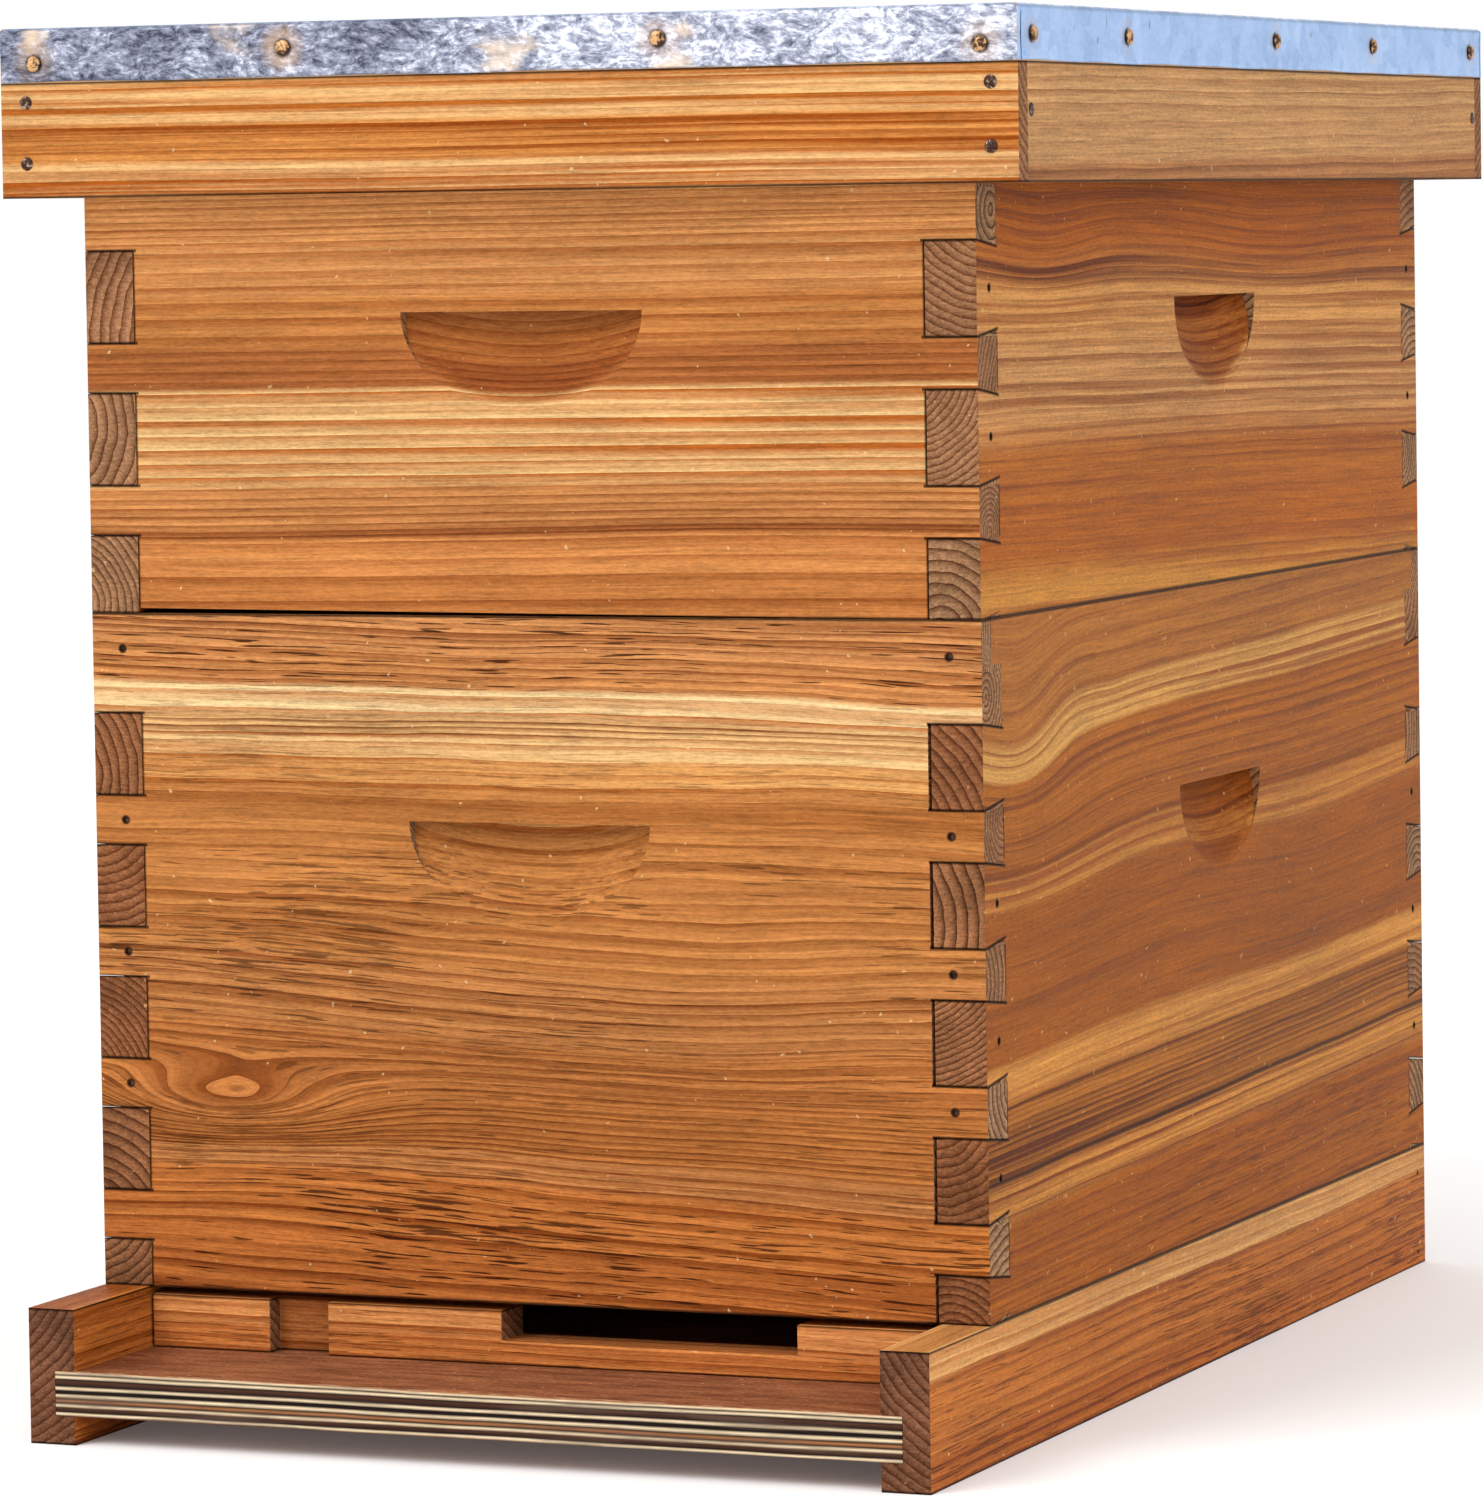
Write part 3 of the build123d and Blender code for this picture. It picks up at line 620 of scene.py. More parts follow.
def cleaned(piece, merge, outward=False, flat_angle=None):
    """Joins points that lie closer together than merge. On request the faces of a closed piece are
    turned outwards, or the edges inside its flat faces melted."""
    shape = bmesh.new()
    shape.from_mesh(piece.data)
    bmesh.ops.remove_doubles(shape, verts=shape.verts, dist=merge)
    if outward:
        bmesh.ops.recalc_face_normals(shape, faces=shape.faces)
    if flat_angle:
        bmesh.ops.dissolve_limit(
            shape, angle_limit=flat_angle, verts=shape.verts, edges=shape.edges
        )
    shape.to_mesh(piece.data)
    shape.free()


def add_wall(piece, thickness, offset):
    """Gives a sheet its thickness."""
    wall = piece.modifiers.new("wall", "SOLIDIFY")
    wall.thickness = thickness
    wall.offset = offset


SAME_POINT = 1e-7
SAME_CELL_CORNER = 1e-6
SAME_CAD_POINT = 2e-6
FLAT_ANGLE = math.radians(0.5)
ARRIS_ANGLE = math.radians(40)


def eased_copy(node, body, material, width):
    """A copy of a CAD board with its arrises eased by a live bevel."""
    piece = put(f"{node}_eased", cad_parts[node].data.copy())
    cleaned(piece, SAME_CAD_POINT, flat_angle=FLAT_ANGLE)
    piece.data.materials.clear()
    piece.data.materials.append(material)
    bevel = piece.modifiers.new("eased arrises", "BEVEL")
    bevel.width = width
    bevel.segments = 2
    bevel.limit_method = "ANGLE"
    bevel.angle_limit = ARRIS_ANGLE
    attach(piece, body)
    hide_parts(node)
    return piece


def repeated_nail(name, outline, places, sides, material, body, node):
    """A turned nail at many places: each outline point (radius, along) goes round the nail's own
    Y axis, then the whole is turned about +Z by quarter turns and moved to (x, y, z)."""
    around = np.linspace(0, 2 * np.pi, sides, endpoint=False)
    radius, along = (np.array(values)[:, None] for values in zip(*outline))
    own = np.stack((radius * np.cos(around), along + 0 * around, radius * np.sin(around)), axis=-1)
    own = own.reshape(-1, 3)
    x, y, z, quarters = (values[:, None] for values in np.array(places).T)
    cos, sin = np.cos(quarters * np.pi / 2), np.sin(quarters * np.pi / 2)
    turned_x = own[:, 0] * cos - own[:, 1] * sin
    turned_y = own[:, 0] * sin + own[:, 1] * cos
    points = np.stack((turned_x + x, turned_y + y, own[:, 2] + z), axis=-1)
    one = ring_faces(len(outline), sides)
    faces = one[None] + np.arange(len(places))[:, None, None] * len(own)
    piece = new_piece(name, points.reshape(-1, 3), faces.reshape(-1, 4), material, body)
    cleaned(piece, SAME_POINT, outward=True)
    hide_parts(node)


def round_head(radius, rise, shank, length):
    """Half outline of a nail with its head on -Y: a crown that falls as a quarter ellipse, a thin
    rolled edge, then the shank and its point."""
    fall = np.linspace(0, np.pi / 2, 7)
    crown = [(radius * np.sin(a), -rise * (0.25 + 0.75 * np.cos(a))) for a in fall]
    return crown + [
        (radius, -rise * 0.1), (radius * 0.96, 0.0), (shank, 0.0002), (shank, length), (0.0, length)
    ]


SEAM = (0.7 * MM, 1.8 * MM)            # where it lies, measured from the corner


def sheet_path(half_x, half_y):
    """The plan of the sheet's folds: a rectangle walked anticlockwise from its right front corner.

    Returns each point, its outward normal and 1 where a corner seam lies. On a side the normal
    stays; at a corner the point stays and the normal turns a quarter."""
    bends = np.array(((half_x, -half_y), (half_x, half_y), (-half_x, half_y), (-half_x, -half_y)))
    points, normals, seams = [], [], []
    for index in range(4):
        start, end = bends[index], bends[(index + 1) % 4]
        run = float(np.linalg.norm(end - start))
        near = np.array((0.0, 0.6, 0.8, 1.7, 1.9, 4.0)) * MM
        even = np.linspace(8 * MM, run - 8 * MM, 170)
        step = np.concatenate((near, even, run - near[::-1]))
        edge = np.minimum(step, run - step)
        angle = index * np.pi / 2
        normal = np.array((np.cos(angle), np.sin(angle)))
        points.append(start + (end - start) * (step / run)[:, None])
        normals.append(np.tile(normal, (len(step), 1)))
        seams.append((edge > SEAM[0]) & (edge < SEAM[1]) & (index % 2 == 0))
        turn = angle + np.linspace(0, np.pi / 2, 6)[1:-1]
        points.append(np.tile(end, (len(turn), 1)))
        normals.append(np.stack((np.cos(turn), np.sin(turn)), axis=1))
        seams.append(np.zeros(len(turn)))
    return np.concatenate(points), np.concatenate(normals), np.concatenate(seams)


DIMPLE_SPREAD = 5.5 * MM
SEAM_DEPTH = 0.55 * MM
EDGE_WAVE = 0.5 * MM                   # how far the lower edge of the flange rises in places
TOP_RIPPLE = 0.35 * MM


def folded_sheet(low, high, fold, dent, nail_places):
    """Points and faces of the sheet: its profile runs out over the top, round the fold and down the
    flange, and is carried along the plan of the folds. The flange is pressed in by crossed slow
    waves and by a bell-shaped dimple round each nail."""
    middle, half = (low + high) / 2, (high - low) / 2
    path, normal, seam = sheet_path(half[0] - fold, half[1] - fold)
    out = np.concatenate(((np.linspace(0, 1, 22)[:-1]) ** 0.7, (0.985,), np.ones(19)))
    bend = np.linspace(0, np.pi / 2, 7)
    drop = np.linspace(fold, high[2] - low[2], 13)[1:]
    reach = np.concatenate((np.zeros(22), fold * np.sin(bend), np.full(12, fold)))
    fall = np.concatenate((np.zeros(22), fold * (1 - np.cos(bend)), drop))
    plan = path[None] * out[:, None, None] + normal[None] * reach[:, None, None]
    x, y = plan[..., 0], plan[..., 1]
    z = high[2] - fall[:, None] + 0 * x
    flange = np.clip(fall / (3 * fold), 0, 1)[:, None]
    wave = np.sin(x * 61 + y * 47 + z * 260) + np.sin(x * 23 - y * 31 - z * 140 + 1.3)
    press = dent * 0.55 * (0.5 + 0.25 * wave) * flange
    near = np.zeros_like(x)
    for nail_x, nail_y, nail_z, _ in nail_places:
        away = (x + middle[0] - nail_x) ** 2 + (y + middle[1] - nail_y) ** 2 + (z - nail_z) ** 2
        near = np.maximum(near, np.exp(-away / (2 * DIMPLE_SPREAD ** 2)))
    press = np.maximum(press, dent * near * flange)
    press = np.maximum(press, SEAM_DEPTH * seam[None] * flange)
    x = x - normal[None, :, 0] * press
    y = y - normal[None, :, 1] * press
    lower = np.clip((fall - fold) / (drop[-1] - fold), 0, 1)[:, None] ** 2
    z = z + EDGE_WAVE * lower * (0.5 + 0.5 * np.sin(x * 83 + y * 71) * np.sin(x * 19 - y * 29))
    ripple = np.clip(1 - flange, 0, 1) * (0.5 + 0.5 * np.sin(x * 27 + 1) * np.sin(y * 21))
    z = z - TOP_RIPPLE * ripple * (1 - out[:, None] ** 6)
    points = np.stack((x + middle[0], y + middle[1], z), axis=-1).reshape(-1, 3)
    marks = {"near_nail": near.ravel(), "seam": (seam[None] * flange).ravel()}
    return points, ring_faces(len(out), len(path)), marks


def foundation_sheet(low, high, cell, emboss):
    """Points and faces of rolled wax: hexagons on a triangular lattice, whose corners stand out by
    emboss in X and whose middles are pressed back by as much. Corners past the border are pulled
    to it."""
    radius = cell / math.sqrt(3.0)
    count_y = int((high[1] - low[1]) / cell) + 3
    count_z = int((high[2] - low[2]) / (1.5 * radius)) + 3
    row, column = np.meshgrid(np.arange(count_z), np.arange(count_y), indexing="ij")
    middle_y = low[1] + (column + 0.5 * (row % 2) - 0.5) * cell
    middle_z = low[2] + (row - 0.5) * 1.5 * radius
    angle = np.radians(30 + 60 * np.arange(6))
    y = np.concatenate((middle_y[..., None], middle_y[..., None] + radius * np.cos(angle)), axis=-1)
    z = np.concatenate((middle_z[..., None], middle_z[..., None] + radius * np.sin(angle)), axis=-1)
    y, z = np.clip(y, low[1], high[1]).reshape(-1, 7), np.clip(z, low[2], high[2]).reshape(-1, 7)
    x = np.tile((-emboss, *(6 * [emboss])), (len(y), 1)) + (low[0] + high[0]) / 2
    corner = np.arange(6)
    fan = np.stack((0 * corner, 1 + corner, 1 + (corner + 1) % 6), axis=1)
    faces = (fan[None] + 7 * np.arange(len(y))[:, None, None]).reshape(-1, 3)
    points = np.stack((x, y, z), axis=-1).reshape(-1, 3)
    first, second, third = (points[faces[:, index]] for index in range(3))
    area = np.abs(
        (second[:, 1] - first[:, 1]) * (third[:, 2] - first[:, 2])
        - (third[:, 1] - first[:, 1]) * (second[:, 2] - first[:, 2])
    )
    return points, faces[area > 1e-9]


CRIMP_PITCH = 0.012


def crimped_wires(low, high, middles, rows, radius, crimp):
    """Wires along Y in the foundation: a circle carried along a sine that swings in X."""
    steps, sides = 120, 6
    y = np.linspace(low[1], high[1], steps)
    around = np.linspace(0, 2 * np.pi, sides, endpoint=False)
    swing = crimp * np.sin((y - low[1]) * 2 * np.pi / CRIMP_PITCH)
    all_points, all_faces = [], []
    for middle in middles:
        for height in np.linspace(low[2], high[2], rows + 2)[1:-1]:
            ring_x = middle + swing[:, None] + radius * np.cos(around)
            ring_z = height + radius * np.sin(around) + 0 * swing[:, None]
            ring_y = y[:, None] + 0 * around
            all_faces.append(ring_faces(steps, sides, first=len(all_points) * steps * sides))
            all_points.append(np.stack((ring_x, ring_y, ring_z), axis=-1).reshape(-1, 3))
    return np.concatenate(all_points), np.concatenate(all_faces)


# ---- sizes and colours that may be changed

def metres(name, description, default):
    """A length in metres."""
    return FloatProperty(
        name=name, description=description, default=default, min=0.0, unit="LENGTH"
    )


class TimberSettings(bpy.types.PropertyGroup):
    """Finish of the waxed boards."""

    easing: metres("Easing", "Width of the planed-off arrises", 0.0007)
    roughness: FloatProperty(
        name="Roughness", description="Roughness of the wax on the faces", default=0.42,
        subtype="FACTOR", min=0.0, max=1.0,
    )


class MetalSettings(bpy.types.PropertyGroup):
    """The folded sheet and the nails."""

    fold: metres("Fold", "Radius of the folds of the sheet", 0.0018)
    dent: metres("Dent", "Deepest dimple round a nail", 0.0005)
    sheet_head: metres("Sheet nail head", "Radius of the nail heads in the sheet", 0.0028)
    rim_head: metres("Rim nail head", "Radius of the nail heads in the rim", 0.0024)
    sides: IntProperty(name="Sides", description="Facets round a nail", default=28, min=8)


class FoundationSettings(bpy.types.PropertyGroup):
    """Wired wax in the frames."""

    wire: metres("Wire", "Radius of the wires", 0.00028)
    cell: metres("Cell", "Width of a cell from flat to flat", 0.0053)
    emboss: metres("Emboss", "How far the cell corners stand out", 0.0004)
    crimp: metres("Crimp", "Swing of the crimped wires to each side", 0.00095)


class StageSettings(bpy.types.PropertyGroup):
    """Floor, lights and surroundings."""

    surroundings: FloatProperty(
        name="Surroundings", description="Brightness of the white surroundings", default=1.0,
        min=0.0,
    )
    key_power: FloatProperty(
        name="Key light", description="Power of the large soft light", default=90.0, min=0.0,
        unit="POWER",
    )
    floor: FloatVectorProperty(
        name="Floor", description="Colour of the floor", default=(0.95, 0.95, 0.95), size=3,
        subtype="COLOR",
    )


# ---- operators

SIDE_TINT = (0.88, 0.77, 0.53)
BARE_TINT = (1.3, 1.5, 1.9)            # undoes most of the wax on wood left bare
RAIL_ENDS = (0.62, 0.55, 0.60)
DEEP_JOINT = (17.0, 47.75, 18.0, 36.0)
MEDIUM_JOINT = (28.0, 51.25, 18.0, 37.5)
MEDIUM_FRONT = Board((
    (14.0, 9.0, 2.6, (206, 136, 82), (160, 92, 46)),
    (27.5, 6.0, 2.4, (224, 154, 98), (172, 100, 52)),
    (31.0, 1.5, 1.2, (176, 108, 64), (116, 60, 28)),
    (46.5, 3.2, 1.8, (216, 152, 100), (150, 84, 42)),
    (80.5, 5.0, 0.65, (252, 220, 170), (188, 106, 46)),
    (95.5, 3.6, 1.5, (187, 118, 72), (140, 77, 37)),
    (114.0, 6.0, 1.3, (208, 143, 88), (171, 102, 54)),
    (131.5, 6.0, 1.2, (226, 165, 112), (173, 104, 56)),
    (152.0, 2.6, 1.4, (246, 180, 122), (184, 114, 66)),
    (168.0, 3.4, 1.6, (255, 184, 128), (188, 112, 64)),
), slope=-0.006, joint=MEDIUM_JOINT, waves=0.16, streaks=0.6, swells=((90, 30, 80, 12, -2),))
DEEP_FRONT = Board((
    (18.0, 4.4, 1.5, (210, 130, 72), (136, 66, 24), 1.0),
    (40.0, 5.0, 1.6, (216, 138, 78), (146, 76, 30), 0.9),
    (52.0, 3.6, 1.3, (216, 150, 98), (144, 78, 36), 0.6),
    (76.0, 2.7, 1.3, (204, 134, 78), (128, 66, 28), 0.6),
    (96.0, 3.4, 1.5, (206, 136, 82), (134, 72, 32), 0.5),
    (124.0, 5.0, 1.6, (211, 146, 94), (136, 73, 33), 0.75),
    (157.5, 5.0, 1.7, (213, 147, 91), (148, 85, 42), 0.6),
    (179.5, 8.0, 1.8, (206, 141, 86), (154, 90, 43), 0.2),
    (190.0, 5.0, 1.0, (240, 184, 124), (184, 112, 58), 0.4),
    (198.0, 4.4, 0.8, (255, 220, 170), (192, 116, 60), 0.3),
    (205.0, 2.3, 1.4, (248, 204, 152), (134, 68, 28), 0.3),
    (215.5, 6.0, 0.9, (255, 228, 186), (200, 128, 74), 0.3),
    (229.0, 3.6, 1.5, (226, 160, 106), (146, 80, 40), 1.0),
    (244.0, 3.2, 1.5, (222, 158, 108), (140, 76, 38), 1.0),
), slope=0.022, joint=DEEP_JOINT, waves=0.9, handhold_shade_and_wax=0.05, nails=(50.0, 200.0, 12.8), swells=(
    (-120, 68, 33, 9.5, 21), (-92, 34, 60, 14, -4), (40, 120, 90, 22, 7), (150, 180, 60, 18, -4),
))
MEDIUM_SIDE = Board((
    (9.0, 4.0, 1.3, (227, 170, 103), (180, 112, 55)),
    (34.0, 9.0, 2.6, (199, 124, 56), (172, 99, 42)),
    (58.0, 5.0, 2.2, (199, 129, 67), (161, 92, 41)),
    (92.0, 5.0, 1.2, (234, 188, 154), (176, 120, 84)),
    (116.0, 6.0, 1.3, (240, 190, 144), (184, 122, 76)),
    (123.0, 3.0, 1.2, (206, 140, 88), (118, 60, 28)),
    (148.0, 5.0, 2.0, (196, 120, 54), (154, 84, 34)),
    (168.0, 8.0, 2.6, (190, 110, 44), (154, 82, 30)),
), slope=0.012, joint=MEDIUM_JOINT, waves=0.35, streaks=1.7, handhold_shade_and_wax=1.0, tint=SIDE_TINT,
    nails=(46.0, 168.0, 0.0), blend=7.0, swells=((-190, 128, 40, 14, 6), (70, 126, 60, 12, 4)))
DEEP_SIDE = Board((
    (20.0, 6.0, 1.8, (197, 125, 61), (158, 89, 37), 0.3),
    (38.0, 7.0, 2.0, (194, 122, 59), (160, 90, 40), 0.3),
    (52.0, 4.0, 1.2, (239, 179, 114), (156, 88, 41)),
    (53.6, 1.4, 1.0, (94, 51, 26), (54, 25, 10)),
    (79.0, 2.3, 1.0, (206, 142, 78), (114, 60, 25)),
    (93.0, 7.0, 2.0, (239, 183, 121), (195, 129, 74)),
    (150.0, 12.0, 3.0, (181, 114, 58), (157, 94, 45)),
    (163.0, 6.0, 1.4, (224, 166, 104), (179, 110, 59)),
    (166.0, 3.0, 1.2, (166, 101, 53), (117, 64, 29)),
    (203.0, 4.6, 2.0, (193, 126, 66), (152, 89, 40)),
    (218.0, 4.2, 1.1, (237, 194, 142), (173, 109, 66)),
    (244.0, 9.0, 2.8, (198, 139, 88), (166, 106, 62)),
), slope=-0.020, joint=DEEP_JOINT, waves=0.4, streaks=1.5, tint=SIDE_TINT, ends=(0.84, 0.66, 0.56),
    nails=(35.0, 178.0, 0.0), swells=(
    (-210, 205, 46, 34, 16), (-168, 214, 26, 22, -7), (120, 140, 90, 30, 5), (-60, 120, 70, 26, -4),
))
RAIL = Board((
    (12.0, 4.0, 1.6, (208, 124, 60), (142, 70, 28), 0.6),
    (37.0, 5.0, 1.8, (216, 136, 70), (158, 84, 34), 0.5),
    (48.5, 4.0, 1.2, (242, 190, 132), (196, 124, 68)),
), waves=0.5, tilt=0.15, heart=(74.0, -34.0), ends=RAIL_ENDS)
LEFT_RAIL = Board((
    (18.0, 4.0, 1.6, (208, 124, 60), (142, 70, 28), 0.6),
    (48.5, 5.0, 1.8, (220, 140, 74), (162, 88, 36), 0.5),
), waves=0.5, tilt=0.15, heart=(74.0, -34.0), ends=RAIL_ENDS)
RIM_FRONT = Board((
    (12.0, 3.8, 0.8, (241, 197, 148), (176, 94, 32)),
    (26.0, 3.0, 0.8, (223, 154, 90), (157, 79, 23)),
    (41.2, 3.4, 0.8, (241, 198, 148), (185, 108, 46)),
), waves=0.22, tilt=0.6, streaks=1.6)
RIM_SIDE = Board((
    (8.0, 4.0, 1.2, (196, 140, 96), (150, 96, 60)),
    (26.0, 6.0, 1.4, (216, 170, 124), (190, 140, 98)),
    (41.2, 5.0, 1.4, (222, 178, 132), (176, 122, 80)),
), slope=-0.01, waves=0.4, streaks=0.6)
STICK = Board((
    (9.0, 3.4, 1.4, (239, 155, 93), (168, 87, 40), 0.5),
    (19.5, 4.4, 1.4, (255, 181, 122), (190, 109, 57), 0.3),
), waves=0.5)
PLANK = Board(((23.0, 4.0, 1.4, (214, 146, 92), (158, 90, 46)),), waves=0.6, tint=BARE_TINT)
INSPECTION_BARS = ("top_bar", "bottom_bar", "end_bar_front", "end_bar_rear")
PLACES = {                             # the axis along the board and the end its face looks to
    "front": ("X", "low"), "rear": ("X", "high"), "left": ("Y", "low"), "right": ("Y", "high"),
}


def turned_over(board):
    """The same wood the other way up, for the boards on the far sides."""
    height = board.strips[-1].top
    lows = [0.0] + [strip.top for strip in board.strips[:-1]]
    strips = [replace(strip, top=height - low) for strip, low in zip(board.strips, lows)]
    swells = [(-run, height - rise, *rest) for run, rise, *rest in board.swells]
    return replace(board, strips=strips[::-1], slope=-board.slope, swells=swells)


def finish_node(node, material):
    """Gives a CAD node its material."""
    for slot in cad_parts[node].material_slots:
        slot.material = material


FRONT_WARP = 2.0 * MM                  # lift of the medium's front board at its left end
WAX_WALL = 1.0 * MM


def timber_board(node, body, where, board, seed):
    """A waxed board with eased arrises in place of its CAD node."""
    grain, outer = PLACES[where]
    settings = bpy.context.scene.hive_timber
    material = timber(node, grain, outer, board, seed, settings.roughness)
    piece = eased_copy(node, body, material, settings.easing)


class HIVE_OT_boxes(bpy.types.Operator):
    """Gives the deep and the medium box their waxed, dovetailed boards"""

    bl_idname = "hive.boxes"
    bl_label = "Boxes"

    def execute(self, context):
        looks = {"deep": (DEEP_FRONT, DEEP_SIDE), "medium": (MEDIUM_FRONT, MEDIUM_SIDE)}
        for seed, (box, (front, side)) in enumerate(looks.items()):
            body = f"{box}_box"
            timber_board(f"{box}_front_board", body, "front", front, seed + 1.0)
            timber_board(f"{box}_rear_board", body, "rear", turned_over(front), seed + 11.0)
            timber_board(f"{box}_right_board", body, "right", side, seed + 21.0)
            timber_board(f"{box}_left_board", body, "left", turned_over(side), seed + 31.0)
        warp_lower_edge(bpy.data.objects["medium_front_board_eased"], FRONT_WARP)
        return {"FINISHED"}


def warp_lower_edge(piece, most):
    """Lifts the lower edge of a warped board by an amount that falls evenly from left to right."""
    mesh = piece.data
    points = np.empty(len(mesh.vertices) * 3, np.float32)
    mesh.vertices.foreach_get("co", points)
    points = points.reshape(-1, 3)
    low, high = points.min(axis=0), points.max(axis=0)
    lower = points[:, 2] < low[2] + MM
    points[lower, 2] += most * ((high[0] - points[lower, 0]) / (high[0] - low[0])) ** 0.8
    mesh.vertices.foreach_set("co", points.ravel())
    mesh.update()


class HIVE_OT_bottom_board(bpy.types.Operator):
    """Finishes the rails, the floor panel and the entrance reducer"""

    bl_idname = "hive.bottom_board"
    bl_label = "Bottom board"

    def execute(self, context):
        rails = (
            ("left_rail", "left", LEFT_RAIL), ("right_rail", "right", RAIL),
            ("rear_rail", "rear", RAIL),
        )
        for seed, (node, where, board) in enumerate(rails):
            timber_board(node, "bottom_board", where, board, seed + 41.0)
        timber_board("entrance_reducer", "entrance_reducer", "front", STICK, 47.0)
        film = plywood("floor_panel", srgb(168, 108, 72), srgb(104, 58, 38))
        finish_node("floor_panel", film)
        return {"FINISHED"}


class HIVE_OT_frames(bpy.types.Operator):
    """Finishes the frames and fills them with wired wax foundation"""

    bl_idname = "hive.frames"
    bl_label = "Frames"

    def execute(self, context):
        settings = context.scene.hive_foundation
        pine, wax = bare_pine("deep_inspection_bottom_bar"), beeswax()
        wire = nail_steel("tinned_wire", srgb(205, 205, 210), srgb(140, 140, 146), 0.5)
        for box, rows in (("deep", 4), ("medium", 2)):
            nodes = [f"{box}_frame_{number}" for number in range(1, 8)]
            bars = [f"{box}_inspection_{piece}" for piece in INSPECTION_BARS]
            for node in nodes + bars:
                finish_node(node, pine)
            groups = (
                (f"{box}_frames", nodes, f"{box}_foundations"),
                (f"{box}_inspection_frame", bars[:1], f"{box}_inspection_foundation"),
            )
            low, high = corners(f"{box}_inspection_foundation")
            for body, holders, replaced in groups:
                middles = [sum(corner[0] for corner in corners(node)) / 2 for node in holders]
                for number, middle in enumerate(middles, 1):
                    step = np.array((middle - (low[0] + high[0]) / 2, 0.0, 0.0))
                    sheet = foundation_sheet(
                        low + step, high + step, settings.cell, settings.emboss
                    )
                    piece = new_piece(f"{body}_wax_{number}", *sheet, wax, body, smooth=False)
                    cleaned(piece, SAME_CELL_CORNER)
                    add_wall(piece, WAX_WALL, 0.0)
                    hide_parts(replaced)
                wires = crimped_wires(low, high, middles, rows, settings.wire, settings.crimp)
                new_piece(f"{body}_wires", *wires, wire, body)
        return {"FINISHED"}


class HIVE_OT_inner_cover(bpy.types.Operator):
    """Finishes the rims and the panel of the inner cover"""

    bl_idname = "hive.inner_cover"
    bl_label = "Inner cover"

    def execute(self, context):
        for seed, where in enumerate(PLACES):
            node = f"inner_cover_rim_{where}"
            timber_board(node, "inner_cover", where, PLANK, seed + 51.0)
        panel = plain_board("panel_board", (214, 172, 120), (170, 122, 76))
        finish_node("inner_cover_panel", panel)
        return {"FINISHED"}


class HIVE_OT_outer_cover(bpy.types.Operator):
    """Finishes the rim and the top board of the outer cover"""

    bl_idname = "hive.outer_cover"
    bl_label = "Outer cover"

    def execute(self, context):
        for seed, where in enumerate(PLACES):
            board = RIM_FRONT if where in ("front", "rear") else RIM_SIDE
            timber_board(f"cover_rim_{where}", "outer_cover", where, board, seed + 61.0)
        top = plain_board("cover_board", (206, 160, 108), (158, 110, 66))
        finish_node("cover_top_board", top)
        return {"FINISHED"}


# For each nail the share of half a side from its middle, and the drop below the sheet's top in mm.
END_SHEET_NAILS = ((-0.93, 12.8), (-0.42, 9.1), (0.32, 9.2), (0.93, 13.6))
SIDE_SHEET_NAILS = ((-0.95, 10.4), (-0.59, 10.0), (0.02, 8.9), (0.46, 9.1), (0.94, 9.6))
RIM_NAIL_INSET = 10.0 * MM
RIM_NAIL_SHARES = (0.3, 0.83)
RIM_SIDE_NAIL_SHARE = 0.6
RIM_SIDE_NAIL_INSET = 12.5 * MM
SHEET_WALL = 0.6 * MM
SHEET_NAIL = (1.5 * MM, 1.2 * MM, 24 * MM)      # rise of the head, radius and length of the shank
RIM_NAIL = (0.6 * MM, 1.1 * MM, 38 * MM)


def sheet_nail_places():
    """Each nail's x, y, z on the sheet and its quarter turns from the front."""
    low, high = corners("cover_metal_sheet")
    middle_x, middle_y, _ = (low + high) / 2
    half_x, half_y, _ = (high - low) / 2 - SHEET_WALL
    places = []
    for share, drop in END_SHEET_NAILS:
        for y, quarters in ((low[1], 0), (high[1], 2)):
            places.append((middle_x + share * half_x, y, high[2] - drop * MM, quarters))
    for share, drop in SIDE_SHEET_NAILS:
        for x, quarters in ((high[0], 1), (low[0], -1)):
            places.append((x, middle_y + share * half_y, high[2] - drop * MM, quarters))
    return places


def rim_nail_places():
    """Each nail's x, y, z on the rim and its quarter turns from the front."""
    low, high = corners("cover_rim_front")
    rear = corners("cover_rim_rear")[1][1]
    places = []
    for x_side, quarters_side in ((low[0], -1), (high[0], 1)):
        inward = 1 if quarters_side < 0 else -1
        for y, quarters, step in ((low[1], 0, 1), (rear, 2, -1)):
            for share in RIM_NAIL_SHARES:
                z = low[2] + share * (high[2] - low[2])
                places.append((x_side + inward * RIM_NAIL_INSET, y, z, quarters))
            z = low[2] + RIM_SIDE_NAIL_SHARE * (high[2] - low[2])
            places.append((x_side, y + step * RIM_SIDE_NAIL_INSET, z, quarters_side))
    return places


class HIVE_OT_sheet(bpy.types.Operator):
    """Folds the zinc sheet over the cover"""

    bl_idname = "hive.sheet"
    bl_label = "Zinc sheet"

    def execute(self, context):
        settings = context.scene.hive_metal
        low, high = corners("cover_metal_sheet")
        points, faces, marks = folded_sheet(
            low, high, settings.fold, settings.dent, sheet_nail_places()
        )
        piece = new_piece("folded_zinc_sheet", points, faces, zinc(low, high), "outer_cover")
        for name, values in marks.items():
            attribute = piece.data.attributes.new(name, "FLOAT", "POINT")
            attribute.data.foreach_set("value", values.astype(np.float32))
        cleaned(piece, SAME_POINT, outward=True)
        add_wall(piece, SHEET_WALL, -1.0)
        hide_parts("cover_metal_sheet")
        return {"FINISHED"}


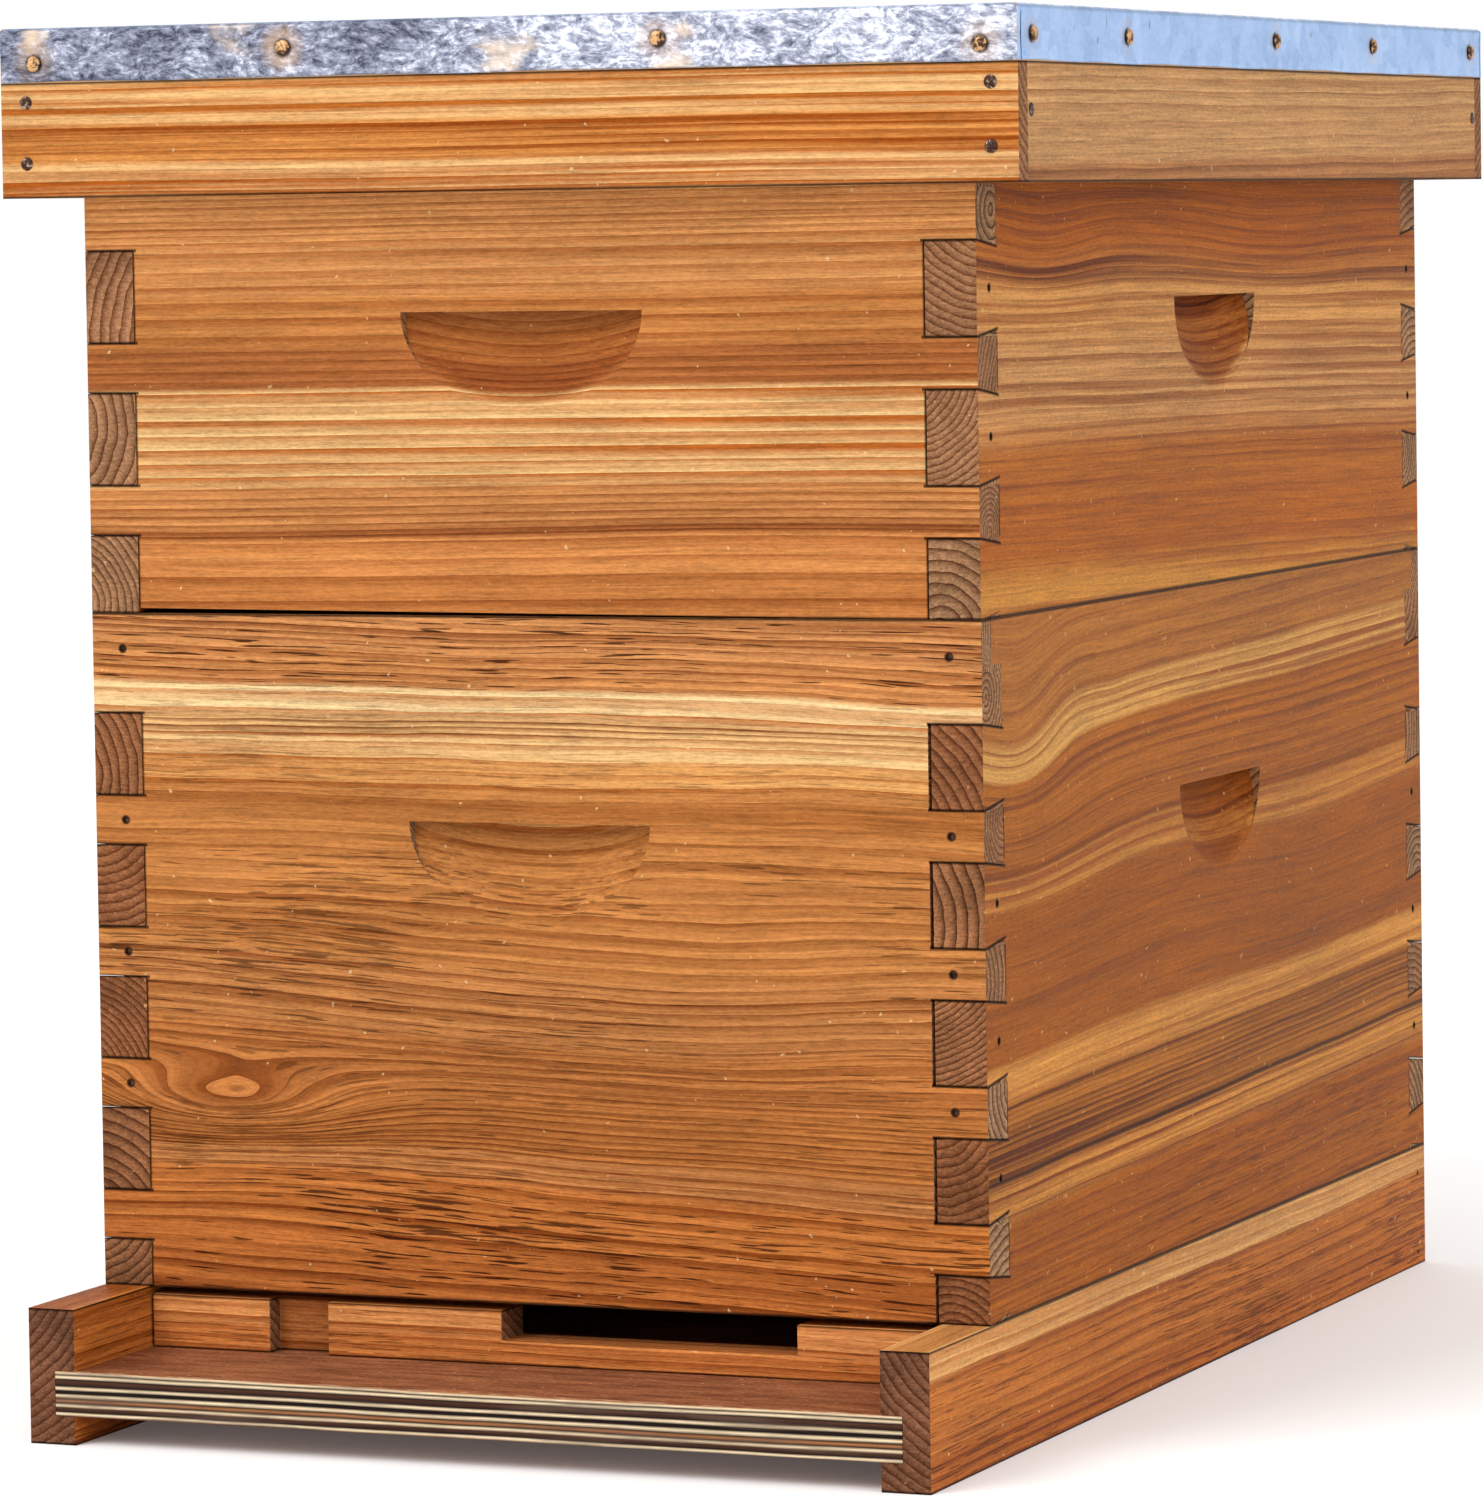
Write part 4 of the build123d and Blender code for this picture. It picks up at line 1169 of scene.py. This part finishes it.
class HIVE_OT_nails(bpy.types.Operator):
    """Turns the nails of the sheet and the rim, and finishes those set in the boards"""

    bl_idname = "hive.nails"
    bl_label = "Nails"

    def execute(self, context):
        settings = context.scene.hive_metal
        brassy = nail_steel("tarnished_nails", srgb(208, 162, 114), srgb(66, 42, 28), 0.50)
        bright = nail_steel("rusted_nails", srgb(166, 146, 128), srgb(58, 28, 16), 0.56)
        dark = nail_steel("set_nails", srgb(96, 66, 46), srgb(30, 20, 16), 0.5)
        for name, head, kind, places, steel in (
            ("sheet_nails", settings.sheet_head, SHEET_NAIL, sheet_nail_places(), brassy),
            ("rim_nails", settings.rim_head, RIM_NAIL, rim_nail_places(), bright),
        ):
            outline = round_head(head, *kind)
            repeated_nail(
                name, outline, places, settings.sides, steel, "outer_cover", f"cover_{name}"
            )
        for node in ("deep_box_nails", "medium_box_nails", "bottom_board_nails"):
            finish_node(node, dark)
        return {"FINISHED"}


FLOOR_REACH = 30.0
LIGHT_AIM = (0.0, 0.0, 0.25)
KEY_PLACE, KEY_SIZE = (-1.6, -3.0, 3.0), 2.2
FILL_PLACE, FILL_SIZE, FILL_SHARE = (3.4, -1.6, 2.0), 2.0, 0.35
CAMERA_PLACE = (1.0439, -2.5448, 0.4345)
CAMERA_TURN = (22.578, 2.863, -0.873)      # degrees: to the left, down, and rolled
CAMERA_LENS = 173.01
CAMERA_SHIFT = -0.12


class HIVE_OT_stage(bpy.types.Operator):
    """Sets the floor, the soft lights and the camera"""

    bl_idname = "hive.stage"
    bl_label = "Stage"

    def execute(self, context):
        settings = context.scene.hive_stage
        scene = context.scene
        mesh = bpy.data.meshes.new("studio_floor")
        plan = ((-1, -1), (1, -1), (1, 1), (-1, 1))
        mesh.from_pydata([(x * FLOOR_REACH, y * FLOOR_REACH, 0) for x, y in plan], [], [range(4)])
        put("studio_floor", mesh)
        paint = Paint("pale_floor", Roughness=0.8, Specular_IOR_Level=0.2)
        paint.shader.inputs["Base Color"].default_value = (*settings.floor, 1.0)
        paint.shader.inputs["Emission Color"].default_value = (1.0, 1.0, 1.0, 1.0)
        paint.shader.inputs["Emission Strength"].default_value = 0.06
        mesh.materials.append(paint.material)

        world = scene.world or bpy.data.worlds.new("studio")
        scene.world = world
        world.use_nodes = True
        background = world.node_tree.nodes["Background"]
        background.inputs["Color"].default_value = (1.0, 1.0, 1.0, 1.0)
        background.inputs["Strength"].default_value = settings.surroundings
        scene.view_settings.view_transform = "Standard"
        scene.view_settings.look = "None"

        for name, place, power, size in (
            ("key_light", KEY_PLACE, settings.key_power, KEY_SIZE),
            ("fill_light", FILL_PLACE, settings.key_power * FILL_SHARE, FILL_SIZE),
        ):
            light = bpy.data.lights.new(name, "AREA")
            light.energy = power
            light.size = size
            lamp = put(name, light)
            lamp.location = place
            aim = np.array(LIGHT_AIM) - np.array(place)
            lamp.rotation_euler = (
                math.acos(-aim[2] / float(np.linalg.norm(aim))), 0.0, math.atan2(-aim[0], aim[1])
            )

        yaw, pitch, roll = (math.radians(angle) for angle in CAMERA_TURN)
        flat = math.cos(pitch)
        forward = np.array((-math.sin(yaw) * flat, math.cos(yaw) * flat, -math.sin(pitch)))
        right = np.array((math.cos(yaw), math.sin(yaw), 0.0))
        up = np.cross(right, forward)
        cos, sin = math.cos(roll), math.sin(roll)
        right, up = cos * right + sin * up, cos * up - sin * right
        data = bpy.data.cameras.new("camera")
        data.sensor_fit = "AUTO"
        data.sensor_width = 36.0
        data.lens = CAMERA_LENS
        data.shift_y = CAMERA_SHIFT
        data.clip_end = 200.0
        camera = put("camera", data)
        turn = np.eye(4)
        turn[:3] = np.stack((right, up, -forward, CAMERA_PLACE), axis=1)
        camera.matrix_world = Matrix(turn.tolist())
        scene.camera = camera
        return {"FINISHED"}


class HIVE_PT_panel(bpy.types.Panel):
    """Lists the pieces of the hive"""

    bl_idname = "HIVE_PT_panel"
    bl_label = "Beehive"
    bl_space_type = "VIEW_3D"
    bl_region_type = "UI"
    bl_category = "Beehive"

    def draw(self, context):
        for operator in OPERATORS:
            self.layout.operator(operator.bl_idname)
        for key, kind in SETTINGS.items():
            group = getattr(context.scene, key)
            for name in kind.__annotations__:
                self.layout.prop(group, name)


SETTINGS = {
    "hive_timber": TimberSettings,
    "hive_metal": MetalSettings,
    "hive_foundation": FoundationSettings,
    "hive_stage": StageSettings,
}
OPERATORS = (
    HIVE_OT_boxes, HIVE_OT_bottom_board, HIVE_OT_frames, HIVE_OT_inner_cover, HIVE_OT_outer_cover,
    HIVE_OT_sheet, HIVE_OT_nails, HIVE_OT_stage,
)


def register():
    for kind in (*SETTINGS.values(), *OPERATORS, HIVE_PT_panel):
        bpy.utils.register_class(kind)
    for key, kind in SETTINGS.items():
        setattr(bpy.types.Scene, key, PointerProperty(type=kind))


def unregister():
    for key in SETTINGS:
        delattr(bpy.types.Scene, key)
    for kind in reversed((*SETTINGS.values(), *OPERATORS, HIVE_PT_panel)):
        bpy.utils.unregister_class(kind)


def main():
    register()
    for operator in OPERATORS:
        group, name = operator.bl_idname.split(".")
        getattr(getattr(bpy.ops, group), name)()
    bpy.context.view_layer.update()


if __name__ == "__main__":
    main()
